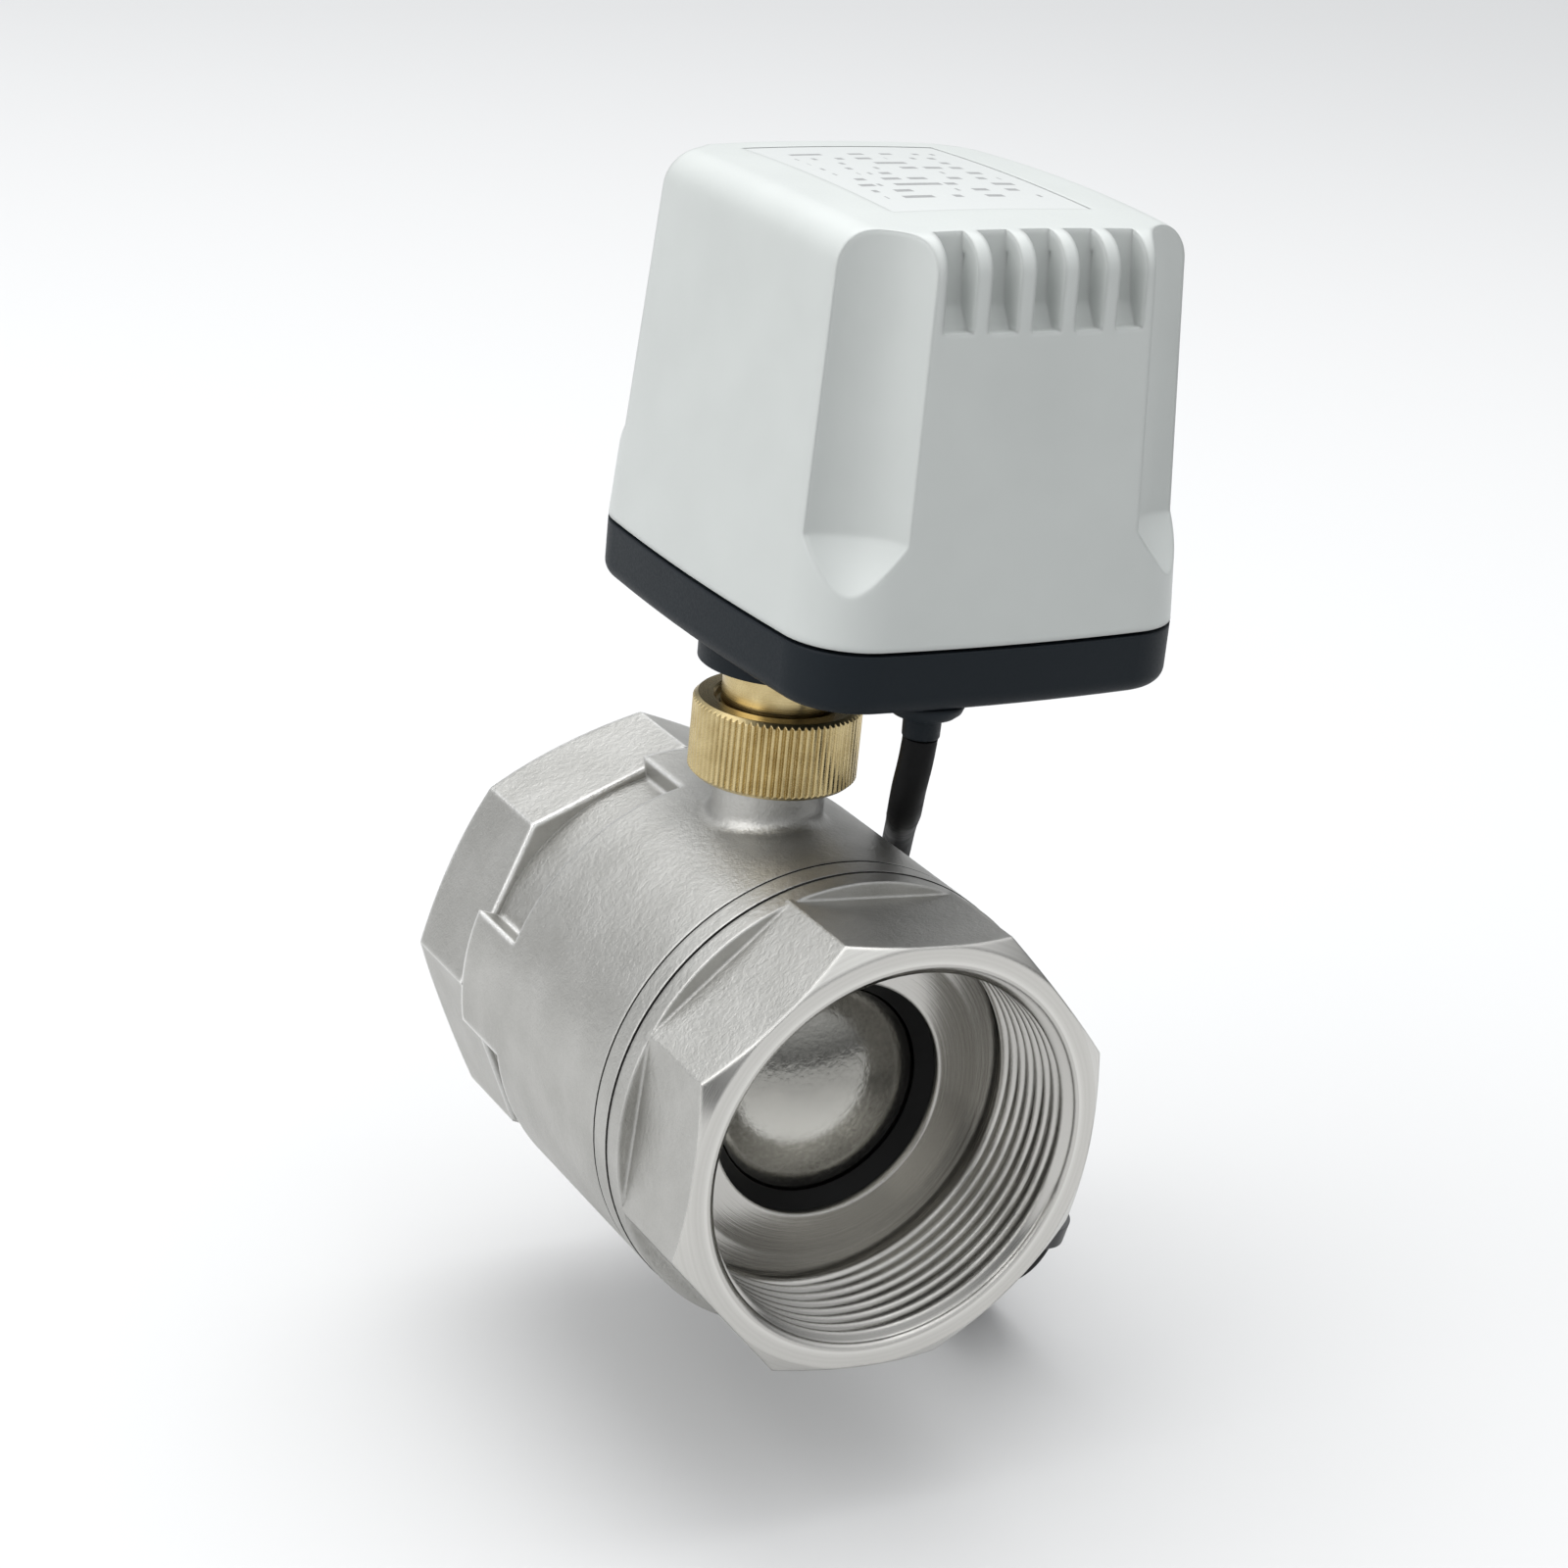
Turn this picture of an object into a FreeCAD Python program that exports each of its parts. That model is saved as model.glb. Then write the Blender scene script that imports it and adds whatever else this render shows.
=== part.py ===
import FreeCAD, Part
import math
import os

import Sketcher
from FreeCAD import Placement, Rotation, Vector
from fcgear import fcgear, involute

# Motorized ball valve: two-piece valve with female pipe threads, union nut and geared actuator.
# Origin where the pipe axis (Y) and the stem axis (Z) cross. The end cap faces -Y. Millimetres.

DIMENSIONS = {
    # valve body and end cap along the pipe axis
    "front_face": 46.4,
    "rear_face": 45.3,
    "barrel_radius": 35.6,
    "flat_step": 2.6,
    "cap_clocking": 4.1,
    "end_chamfer": 2.0,
    "joint_place": 25.2,
    "joint_gap": 0.3,
    "cap_flange_width": 3.4,
    "cap_flange_inset": 0.1,
    "cap_octagon_back": 27.6,
    "octagon_root_step": 3.6,
    "scribe_place": 21.0,
    "scribe_depth": 0.25,
    "rear_octagon_start": 27.0,
    "pocket_front": 13.6,
    "pocket_slope": 2.0,
    "pocket_depth": 3.6,
    "top_pocket_angle": 41.0,
    "top_pocket_span": 58.0,
    "low_pocket_angle": 135.0,
    "low_pocket_span": 70.0,
    # pipe thread, parallel, 2 inch
    "thread_crest_radius": 28.328,
    "thread_root_radius": 29.807,
    "thread_pitch": 2.309,
    "thread_end": 28.0,
    "mouth_radius": 29.9,
    "relief_width": 1.4,
    "shoulder_place": 26.0,
    "shoulder_width": 3.0,
    # spigot joint
    "spigot_radius": 31.0,
    "spigot_clearance": 0.08,
    "spigot_end": 17.1,
    "gasket_thickness": 0.8,
    "gasket_width": 1.4,
    "cavity_radius": 29.3,
    # ball and seats
    "ball_radius": 27.6,
    "ball_bore_radius": 17.5,
    "ball_slot_width": 6.1,
    "ball_slot_length": 15.0,
    "ball_slot_floor": 22.6,
    "seat_clearance": 0.3,
    "seat_outer_radius": 22.0,
    "seat_fit": 0.1,
    "seat_front_place": 24.6,
    "seat_depth": 7.6,
    "seat_rim": 3.3,
    "seat_lip": 5.6,
    "seat_lip_place": 22.4,
    # stem and its packing
    "stem_radius": 4.5,
    "stem_fit": 0.06,
    "stem_disc_radius": 7.2,
    "stem_disc_bottom": 28.4,
    "stem_disc_top": 30.8,
    "washer_gap": 0.1,
    "washer_thickness": 0.5,
    "tang_width": 5.8,
    "tang_length": 13.6,
    "tang_bottom": 23.2,
    "packing_radius": 6.8,
    "packing_bottom": 38.0,
    "packing_ring_height": 1.5,
    "packing_rings": 3,
    "gland_height": 4.8,
    "gland_slot": 1.6,
    "stem_square": 6.4,
    "stem_square_start": 47.6,
    "stem_top": 53.5,
    # neck, union nut and collar
    "neck_radius": 8.3,
    "neck_root_depth": 4.6,
    "neck_root_fillet": 2.4,
    "boss_radius": 10.4,
    "boss_bottom": 42.3,
    "boss_top": 49.5,
    "nut_radius": 12.6,
    "nut_bottom": 41.8,
    "nut_height": 11.8,
    "nut_bore_radius": 10.5,
    "nut_lip_radius": 9.3,
    "nut_lip": 1.4,
    "nut_chamfer": 0.7,
    "knurl_count": 76,
    "knurl_depth": 0.42,
    "slip_ring_thickness": 0.65,
    "collar_flange_radius": 10.2,
    "collar_flange_height": 1.9,
    "collar_radius": 8.5,
    "collar_rise": 2.1,
    "collar_bore_radius": 6.6,
    "shaft_fit": 0.06,
    "shaft_bottom": 48.4,
    "shaft_step_drop": 2.8,
    "shaft_top_radius": 4.0,
    "shaft_end_rise": 16.5,
    "socket_clearance": 0.1,
    "socket_depth": 6.0,
    # actuator housing, sizes at the seam between base and cover
    "box_place": 15.4,
    "box_half_width": 32.0,
    "box_half_length": 38.0,
    "side_bulge": 1.7,
    "corner_fillet": 11.0,
    "wall": 2.2,
    "base_bottom": 63.9,
    "base_height": 8.9,
    "base_edge_fillet": 2.4,
    "base_floor": 2.5,
    "base_boss_radius": 12.5,
    "base_boss_drop": 4.5,
    "cover_rise": 36.7,
    "dome_drop": 3.2,
    "dome_overreach": 21.0,
    "cover_draft": 3.5,
    "cover_edge_fillet": 5.5,
    "cover_roof": 2.6,
    "scoop_floor": 88.4,
    "scoop_cone": 13.8,
    "scoop_radius": 10.6,
    "scoop_inset_x": 3.0,
    "scoop_outset_y": 0.2,
    "inner_cut_x": 17.3,
    "inner_cut_y": 13.4,
    "gear_relief": 0.8,
    "vent_count": 5,
    "vent_pitch": 6.8,
    "vent_width": 4.6,
    "vent_height": 13.5,
    "vent_depth": 7.0,
    "vent_backing": 1.8,
    "gasket_seam": 0.6,
    "label_width": 32.0,
    "label_length": 44.0,
    "label_recess": 0.45,
    "label_thickness": 0.35,
    "label_fit": 0.15,
    "label_place": 3.0,
    "screw_inset_x": 11.7,
    "screw_inset_y": 8.5,
    "screw_radius": 1.5,
    "screw_head_radius": 2.8,
    "screw_head": 2.0,
    "screw_length": 14.0,
    "post_radius": 3.4,
    # gear train
    "pillar_foot_height": 4.6,
    "plate_space": 22.5,
    "plate_thickness": 1.2,
    "plate_half_width": 26.0,
    "plate_half_length": 22.5,
    "pillar_inset": 3.6,
    "pillar_radius": 2.2,
    "pillar_foot_radius": 3.3,
    "pillar_pin_radius": 1.5,
    "axle_radius": 1.5,
    "axle_fit": 0.05,
    "mesh_play": 0.06,
    "angle_c": -28.8,
    "angle_b": 32.0,
    "angle_a": 113.6,
    "angle_motor": 152.9,
    "hub_radius": 2.4,
    "end_play": 0.1,
    "bush_flange": 0.6,
    "output_module": 0.7,
    "second_module": 0.6,
    "fine_module": 0.5,
    "output_teeth": 38,
    "pinion_teeth": 14,
    "wheel_c_teeth": 42,
    "wheel_b_teeth": 44,
    "wheel_a_teeth": 44,
    "motor_teeth": 12,
    "output_gear_rise": 3.0,
    "output_gear_width": 5.0,
    "share_c": 0.42,
    "share_b": 0.6,
    "share_a": 0.78,
    "wheel_width": 2.4,
    "pinion_overlap": 3.4,
    "motor_radius": 11.0,
    "motor_height": 25.0,
    "motor_shaft_radius": 1.0,
    "motor_screw_place": 7.5,
    "motor_screw_radius": 1.25,
    "motor_screw_depth": 3.0,
    # cams, switches and circuit board
    "cam_rise": 3.5,
    "cam_pitch": 7.0,
    "cam_width": 4.6,
    "cam_radius": 6.0,
    "cam_lobe_radius": 8.2,
    "cam_lobe_span": 40.0,
    "cam_gap": 0.4,
    "switch_width": 12.8,
    "switch_depth": 6.5,
    "switch_height": 5.8,
    "plunger_size": 1.6,
    "plunger_out": 1.2,
    "plunger_travel": 0.8,
    "board_rise": 19.5,
    "board_thickness": 1.6,
    "board_width": 43.0,
    "board_length": 26.2,
    "board_place_x": 1.0,
    "board_place_y": -12.2,
    "standoff_radius": 2.4,
    "standoff_inset_x": 5.4,
    "standoff_inset_y": 4.4,
    "standoff_pin_radius": 1.3,
    "relay_width": 15.0,
    "relay_length": 10.0,
    "relay_height": 8.0,
    "relay_inset": 3.0,
    "part_gap": 1.5,
    "terminal_width": 12.0,
    "terminal_length": 7.0,
    "terminal_height": 8.0,
    "terminal_inset_x": 8.0,
    "terminal_inset_y": 3.5,
    "terminal_pitch": 4.0,
    "terminal_hole_radius": 1.2,
    "terminal_hole_depth": 2.5,
    "chip_width": 9.0,
    "chip_length": 6.0,
    "chip_height": 1.6,
    "capacitor_inset": 9.0,
    "capacitor_radius": 5.0,
    "capacitor_length": 16.0,
    # cable
    "cable_diameter": 5.0,
    "cable_gland_x": 5.5,
    "cable_gland_y": -31.0,
    "cable_gland_radius": 5.9,
    "cable_gland_bottom": 58.3,
    "cable_gland_hole": 4.1,
    "cable_entry_gap": 0.4,
    "coil_radius": 27.5,
    "coil_turns": 2,
    "coil_step": 5.6,
    "tie_width": 4.0,
    "tie_wall": 1.0,
    "core_diameter": 1.4,
    "core_length": 14.0,
    "core_bare": 5.0,
    "core_gap": 0.15,
}

# Sizes that follow others, as formulas of the sheet.
FORMULAS = {
    "flats": "(barrel_radius - flat_step) * 2",
    "face_ring_radius": "barrel_radius - flat_step",
    "octagon_root_radius": "barrel_radius - octagon_root_step",
    "neck_root": "barrel_radius - neck_root_depth",
    "throat_radius": "seat_outer_radius - seat_rim",
    "seat_lip_radius": "seat_outer_radius - seat_lip",
    "shoulder_radius": "seat_outer_radius + shoulder_width",
    "collar_top": "base_bottom + collar_rise",
    "seam": "base_bottom + base_height",
    "lower_plate": "base_bottom + base_floor + pillar_foot_height",
    "upper_plate": "lower_plate + plate_space",
    "shaft_step": "lower_plate - shaft_step_drop",
    "shaft_top": "upper_plate + shaft_end_rise",
    "cover_top": "upper_plate + cover_rise",
    "vent_bottom": "cover_top - vent_height",
    "scoop_axis_x": "box_half_width - scoop_inset_x",
    "scoop_axis_y": "box_half_length + scoop_outset_y",
    "screw_place_x": "box_half_width - screw_inset_x",
    "screw_place_y": "box_half_length - screw_inset_y",
    "output_gear_level": "lower_plate + output_gear_rise",
    "level_c": "lower_plate + plate_space * share_c",
    "level_b": "lower_plate + plate_space * share_b",
    "level_a": "lower_plate + plate_space * share_a",
    "cam_level": "upper_plate + cam_rise",
    "board_bottom": "upper_plate + board_rise",
}

# The free cable's route from the gland to the coil, chosen by hand.
CABLE_POINTS = [
    (5.5, -31.0, 58.3),
    (5.6, -30.5, 54.6),
    (6.3, -28.3, 49.6),
    (8.4, -24.6, 44.9),
    (11.6, -19.4, 41.2),
    (18.2, -8.8, 36.3),
    (28.0, 6.6, 28.5),
    (36.6, 20.5, 20.8),
    (41.2, 28.6, 11.9),
]
COIL_CENTER = (44.0, 15.0, -29.0)
COIL_START_ANGLE = 17.5
COIL_LEAD = 5.0
COIL_TAIL = 16.0
CABLE_LAST_RUN = 14.0

doc = FreeCAD.newDocument("motorized_valve")
sheet = doc.addObject("Spreadsheet::Sheet", "sizes")


class Size:
    """A number together with the sheet expression that drives it."""

    def __init__(self, value, text):
        self.value = float(value)
        self.text = text

    def join(self, other, sign, value):
        return Size(value, f"({self.text} {sign} {as_size(other).text})")

    def __add__(self, other):
        return self.join(other, "+", self.value + as_size(other).value)

    def __sub__(self, other):
        return self.join(other, "-", self.value - as_size(other).value)

    def __mul__(self, other):
        return self.join(other, "*", self.value * as_size(other).value)

    def __truediv__(self, other):
        return self.join(other, "/", self.value / as_size(other).value)

    def __neg__(self):
        return Size(-self.value, f"(0 - {self.text})")


def as_size(number):
    """Turn a plain number into a Size, and leave a Size as it is."""
    return number if isinstance(number, Size) else Size(number, repr(float(number)))


def read(name):
    """Read one size back from the sheet."""
    return float(sheet.get(name))


class Sizes:
    """The named sizes of the sheet, read as attributes."""

    def __getattr__(self, name):
        return Size(read(name), f"sizes.{name}")


S = Sizes()


def fill_sheet():
    """Write every driving dimension and formula to the sheet and give its cell an alias."""
    formulas = {name: f"={text}" for name, text in FORMULAS.items()}
    for row, (name, value) in enumerate({**DIMENSIONS, **formulas}.items(), start=1):
        sheet.set(f"A{row}", name)
        sheet.set(f"B{row}", str(value))
        sheet.setAlias(f"B{row}", name)
    doc.recompute()


def bind(item, path, size):
    """Drive a property of item by a size of the sheet."""
    item.setExpression(path, as_size(size).text)


def place(item, x=0, y=0, z=0):
    """Put a sub-part at a place of the sheet."""
    here = item.Placement
    here.Base = Vector(as_size(x).value, as_size(y).value, as_size(z).value)
    item.Placement = here
    for axis, size in (("x", x), ("y", y), ("z", z)):
        if isinstance(size, Size):
            item.setExpression(f"Placement.Base.{axis}", size.text)


def new_body(name):
    """Start a sub-part as a body of its own."""
    body = doc.addObject("PartDesign::Body", name)
    body.Label = name
    return body


def origin_plane(body, role):
    """Find one of the body's own origin planes."""
    return next(item for item in body.Origin.OriginFeatures if item.Role == role)


def new_sketch(body, role="XY_Plane", height=None, turn=None):
    """Start a sketch on an origin plane, raised by height, or turned about its own X axis."""
    sketch = body.newObject("Sketcher::SketchObject", f"{body.Name}_sketch")
    sketch.AttachmentSupport = [(origin_plane(body, role), "")]
    sketch.MapMode = "FlatFace"
    if height is not None:
        height = as_size(height)
        sketch.AttachmentOffset = Placement(Vector(0, 0, height.value), Rotation())
        sketch.setExpression("AttachmentOffset.Base.z", height.text)
    if turn is not None:
        turn = as_size(turn)
        sketch.AttachmentOffset = Placement(Vector(), Rotation(Vector(1, 0, 0), turn.value))
        sketch.setExpression("AttachmentOffset.Rotation.Angle", turn.text)
    return sketch


def constrain(sketch, kind, *items, size=None):
    """Add a constraint, driven by a size where it has one."""
    if size is None:
        sketch.addConstraint(Sketcher.Constraint(kind, *items))
        return
    index = sketch.addConstraint(Sketcher.Constraint(kind, *items, size.value))
    sketch.setExpression(f"Constraints[{index}]", size.text)


def pin(sketch, index, end, x, y):
    """Hold one point of a sketch at a place measured from its origin."""
    for kind, axis, size in (("DistanceX", -2, as_size(x)), ("DistanceY", -1, as_size(y))):
        if abs(size.value) < 1e-9:
            constrain(sketch, "PointOnObject", index, end, axis)
        elif size.value > 0:
            constrain(sketch, kind, -1, 1, index, end, size=size)
        else:
            constrain(sketch, kind, index, end, -1, 1, size=-size)


def draw_outline(sketch, corners):
    """Draw a closed outline of straight lines through corners."""
    spots = [Vector(as_size(x).value, as_size(y).value, 0) for x, y in corners]
    count = len(spots)
    first = sketch.GeometryCount
    for number in range(count):
        sketch.addGeometry(Part.LineSegment(spots[number], spots[(number + 1) % count]))
    for number in range(count):
        constrain(sketch, "Coincident", first + number, 2, first + (number + 1) % count, 1)
        pin(sketch, first + number, 1, *corners[number])


def draw_circle(sketch, x, y, radius):
    """Draw a circle about a place."""
    radius = as_size(radius)
    centre = Vector(as_size(x).value, as_size(y).value, 0)
    index = sketch.addGeometry(Part.Circle(centre, Vector(0, 0, 1), radius.value))
    pin(sketch, index, 3, x, y)
    constrain(sketch, "Radius", index, size=radius)


def draw_box(sketch, x, y, width, length):
    """Draw a rectangle about a place."""
    x, y, width, length = (as_size(size) for size in (x, y, width, length))
    low_x, high_x = x - width / 2, x + width / 2
    low_y, high_y = y - length / 2, y + length / 2
    draw_outline(sketch, [(low_x, low_y), (high_x, low_y), (high_x, high_y), (low_x, high_y)])


def draw_bulged_box(sketch, half_x, half_y, bulge):
    """Draw a rectangle whose four sides are shallow arcs that swell outwards by bulge."""
    low = [half_x - bulge, half_y - bulge]
    corners = [(low[0], -low[1]), (low[0], low[1]), (-low[0], low[1]), (-low[0], -low[1])]
    mids = [(half_x, 0), (0, half_y), (-half_x, 0), (0, -half_y)]
    chords = [low[1], low[0], low[1], low[0]]
    spots = [Vector(x.value, y.value, 0) for x, y in corners]
    for number in range(4):
        middle = Vector(as_size(mids[number][0]).value, as_size(mids[number][1]).value, 0)
        sketch.addGeometry(Part.ArcOfCircle(spots[number], middle, spots[(number + 1) % 4]))
    for number in range(4):
        constrain(sketch, "Coincident", number, 2, (number + 1) % 4, 1)
        pin(sketch, number, 1, *corners[number])
        constrain(sketch, "Radius", number, size=(chords[number] * chords[number] / bulge + bulge) / 2)


def add_feature(body, kind, sketch, **settings):
    """Add a feature made from a sketch and make it the body's tip."""
    item = body.newObject(f"PartDesign::{kind}", f"{body.Name}_{kind.lower()}")
    item.Profile = sketch
    for name, value in settings.items():
        if isinstance(value, Size):
            bind(item, name, value)
        else:
            setattr(item, name, value)
    body.Tip = item
    return item


def pad(body, sketch, length, **settings):
    """Pad a sketch by a length."""
    return add_feature(body, "Pad", sketch, Length=as_size(length), **settings)


def cut(body, sketch, length, **settings):
    """Cut a sketch into the body by a length, along its normal unless it is reversed."""
    settings["Reversed"] = not settings.get("Reversed", False)
    return add_feature(body, "Pocket", sketch, Length=as_size(length), **settings)


def turn_solid(body, role, axis, corners, angle=360, **settings):
    """Revolve an outline about an axis of its sketch."""
    sketch = new_sketch(body, role)
    draw_outline(sketch, corners)
    return add_feature(body, "Revolution", sketch, ReferenceAxis=(sketch, [axis]), Angle=angle, **settings)


def turn_cut(body, role, axis, corners, angle=360, turn=None, **settings):
    """Cut an outline out of the body by revolving it about an axis of its sketch."""
    sketch = new_sketch(body, role, turn=turn)
    draw_outline(sketch, corners)
    return add_feature(body, "Groove", sketch, ReferenceAxis=(sketch, [axis]), Angle=angle, **settings)


def rectangle(low_r, high_r, low_z, high_z):
    """List the corners of a rectangle in radius and height."""
    return [(low_r, low_z), (high_r, low_z), (high_r, high_z), (low_r, high_z)]


def ring(name, inner, outer, bottom, top):
    """Make a plain ring about the stem axis."""
    body = new_body(name)
    turn_solid(body, "XZ_Plane", "V_Axis", rectangle(inner, outer, bottom, top))
    return body


def octagon_corners(flats, first_angle):
    """List the corners of an octagon of a given width across its flats."""
    reach = 0.5 / math.cos(math.radians(22.5))
    angles = [math.radians(first_angle + 45 * number) for number in range(8)]
    return [(flats * (reach * math.cos(angle)), flats * (reach * math.sin(angle))) for angle in angles]


def edges_where(feature, test):
    """Name the edges of a feature that pass a test."""
    edges = feature.Shape.Edges
    return [f"Edge{number}" for number, edge in enumerate(edges, start=1) if test(edge)]


def fillet(body, feature, test, radius):
    """Round the edges of the last feature that pass a test."""
    doc.recompute()
    item = body.newObject("PartDesign::Fillet", f"{body.Name}_fillet")
    item.Base = (feature, edges_where(feature, test))
    bind(item, "Radius", radius)
    body.Tip = item
    return item


def port_profile(side, face):
    """List the inside of a threaded port, from its mouth in to the seat's pocket."""
    step = S.mouth_radius - S.thread_crest_radius
    places = [
        (face, S.mouth_radius),
        (face - step, S.thread_crest_radius),
        (S.thread_end, S.thread_crest_radius),
        (S.thread_end, S.mouth_radius),
        (S.thread_end - S.relief_width, S.mouth_radius),
        (S.shoulder_place, S.shoulder_radius),
        (S.shoulder_place, S.throat_radius),
        (S.seat_front_place, S.throat_radius),
        (S.seat_front_place, S.seat_outer_radius + S.seat_fit),
    ]
    return [(along * side, radius) for along, radius in places]


def cut_thread(body, start, height):
    """Cut the pipe thread into a port, from start along +Y."""
    sketch = new_sketch(body, "YZ_Plane")
    overlap = 0.13
    flank_angle = 27.5
    flat_share = 1 / 12
    crest_half = S.thread_pitch * (0.5 - flat_share) + overlap * math.tan(math.radians(flank_angle))
    root_half = S.thread_pitch * flat_share
    inner = S.thread_crest_radius - overlap
    draw_outline(
        sketch,
        [
            (start - crest_half, inner),
            (start + crest_half, inner),
            (start + root_half, S.thread_root_radius),
            (start - root_half, S.thread_root_radius),
        ],
    )
    doc.recompute()
    item = body.newObject("PartDesign::SubtractiveHelix", f"{body.Name}_thread")
    item.Profile = sketch
    item.ReferenceAxis = (sketch, ["H_Axis"])
    item.Mode = 0
    item.Angle = 0
    bind(item, "Pitch", S.thread_pitch)
    bind(item, "Height", height)
    body.Tip = item


def add_octagon(body, start, length, first_angle):
    """Pad an octagon along +Y from start."""
    sketch = new_sketch(body, "XZ_Plane", height=-start)
    draw_outline(sketch, octagon_corners(S.flats, first_angle))
    draw_circle(sketch, 0, 0, S.octagon_root_radius - 1)
    pad(body, sketch, length, Reversed=True)


def chamfer_ring(side, face):
    """List the wedge that a turned chamfer takes off an octagon's corners."""
    outer = S.barrel_radius + 3
    return [
        (face * side, S.face_ring_radius),
        (face * side, outer),
        ((face - S.end_chamfer * 2) * side, outer),
        ((face - S.end_chamfer) * side, S.barrel_radius + 0.2),
    ]


def is_neck_root(edge):
    """Tell whether an edge runs round the foot of the neck on the barrel."""
    box = edge.BoundBox
    reach = read("neck_radius") + 0.1
    low, high = read("neck_root") + 0.5, read("barrel_radius") + 0.1
    return max(-box.XMin, box.XMax, -box.YMin, box.YMax) < reach and low < box.ZMin and box.ZMax < high


def split_casting(body):
    """Divide the casting where its rear octagon starts, into the main body and the port end."""
    body.Label = "casting"
    reach = S.barrel_radius * 2
    pieces = []
    for name, kind in (("valve_body", "Cut"), ("valve_port_end", "Common")):
        block = doc.addObject("Part::Box", f"{name}_block")
        for side, size in (("Length", reach * 2), ("Width", reach), ("Height", reach * 2)):
            bind(block, side, size)
        place(block, -reach, S.rear_octagon_start, -reach)
        piece = doc.addObject(f"Part::{kind}", name)
        piece.Label = name
        piece.Base = body
        piece.Tool = block
        pieces.append(piece)
    return pieces


def make_casting():
    """Cast body: barrel, rear octagon with its port, pockets and the neck for the stem."""
    body = new_body("casting")
    front = S.joint_gap - S.joint_place
    bore = S.spigot_radius + S.spigot_clearance
    cavity_front = S.gasket_thickness - S.spigot_end
    cavity_back = S.seat_front_place - S.seat_depth - S.seat_fit
    outside = [
        (front, bore),
        (front, S.barrel_radius),
        (-S.scribe_place - S.scribe_depth, S.barrel_radius),
        (-S.scribe_place, S.barrel_radius - S.scribe_depth),
        (S.scribe_depth - S.scribe_place, S.barrel_radius),
        (S.rear_octagon_start, S.barrel_radius),
        (S.rear_octagon_start, S.octagon_root_radius),
        (S.rear_face, S.octagon_root_radius),
    ]
    inside = port_profile(1, S.rear_face) + [
        (cavity_back, S.seat_outer_radius + S.seat_fit),
        (cavity_back, S.cavity_radius),
        (cavity_front, S.cavity_radius),
        (cavity_front, bore),
    ]
    turn_solid(body, "YZ_Plane", "H_Axis", outside + inside)
    add_octagon(body, S.rear_octagon_start, S.rear_face - S.rear_octagon_start, 0)
    turn_cut(body, "YZ_Plane", "H_Axis", chamfer_ring(1, S.rear_face))
    outer = S.barrel_radius + 2
    pocket = [
        (S.pocket_front, S.barrel_radius + 0.2),
        (S.pocket_front + S.pocket_slope, S.barrel_radius - S.pocket_depth),
        (S.rear_octagon_start, S.barrel_radius - S.pocket_depth),
        (S.rear_octagon_start, outer),
        (S.pocket_front, outer),
    ]
    for angle, span in ((S.top_pocket_angle, S.top_pocket_span), (S.low_pocket_angle, S.low_pocket_span)):
        for turn in (angle, -angle):
            turn_cut(body, "YZ_Plane", "H_Axis", pocket, angle=span, turn=turn, Midplane=True)
    neck = [
        (0, S.neck_root),
        (S.neck_radius, S.neck_root),
        (S.neck_radius, S.boss_bottom),
        (S.boss_radius, S.boss_bottom),
        (S.boss_radius, S.boss_top),
        (0, S.boss_top),
    ]
    fillet(body, turn_solid(body, "XZ_Plane", "V_Axis", neck), is_neck_root, S.neck_root_fillet)
    washer_top = S.stem_disc_top + S.washer_gap + S.washer_thickness
    stem_bore = S.stem_radius + S.stem_fit
    channel = [
        (0, S.ball_slot_floor),
        (S.stem_disc_radius + 0.2, S.ball_slot_floor),
        (S.stem_disc_radius + 0.2, washer_top),
        (stem_bore, washer_top),
        (stem_bore, S.packing_bottom),
        (S.packing_radius, S.packing_bottom),
        (S.packing_radius, S.boss_top + 1),
        (0, S.boss_top + 1),
    ]
    turn_cut(body, "XZ_Plane", "V_Axis", channel)
    start = S.thread_end - S.relief_width + S.thread_pitch / 2
    cut_thread(body, start, S.rear_face - start + S.thread_pitch)
    return split_casting(body)


def make_end_cap():
    """Screwed end cap: front octagon with its port, flange and spigot."""
    body = new_body("end_cap")
    flange_front = -S.joint_place - S.cap_flange_width
    inside = port_profile(-1, S.front_face)
    outside = [
        (-S.spigot_end, S.seat_outer_radius + S.seat_fit),
        (-S.spigot_end, S.spigot_radius),
        (-S.joint_place, S.spigot_radius),
        (-S.joint_place, S.barrel_radius - S.cap_flange_inset),
        (flange_front, S.barrel_radius - S.cap_flange_inset),
        (flange_front, S.octagon_root_radius),
        (-S.front_face, S.octagon_root_radius),
    ]
    turn_solid(body, "YZ_Plane", "H_Axis", inside + outside)
    add_octagon(body, -S.front_face, S.front_face - S.cap_octagon_back, 22.5)
    turn_cut(body, "YZ_Plane", "H_Axis", chamfer_ring(-1, S.front_face))
    end = S.thread_end - S.relief_width + S.thread_pitch / 2
    cut_thread(body, -S.front_face - S.thread_pitch, S.front_face + S.thread_pitch - end)
    body.Placement = Placement(Vector(), Rotation(Vector(0, 1, 0), read("cap_clocking")))
    body.setExpression("Placement.Rotation.Angle", "sizes.cap_clocking")
    return body


def make_body_gasket():
    """Flat ring between the cap's spigot and the body's shoulder."""
    body = new_body("body_gasket")
    inner = S.spigot_radius - S.gasket_width
    outline = [
        (-S.spigot_end, inner),
        (-S.spigot_end, S.spigot_radius),
        (S.gasket_thickness - S.spigot_end, S.spigot_radius),
        (S.gasket_thickness - S.spigot_end, inner),
    ]
    turn_solid(body, "YZ_Plane", "H_Axis", outline)
    return body


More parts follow.
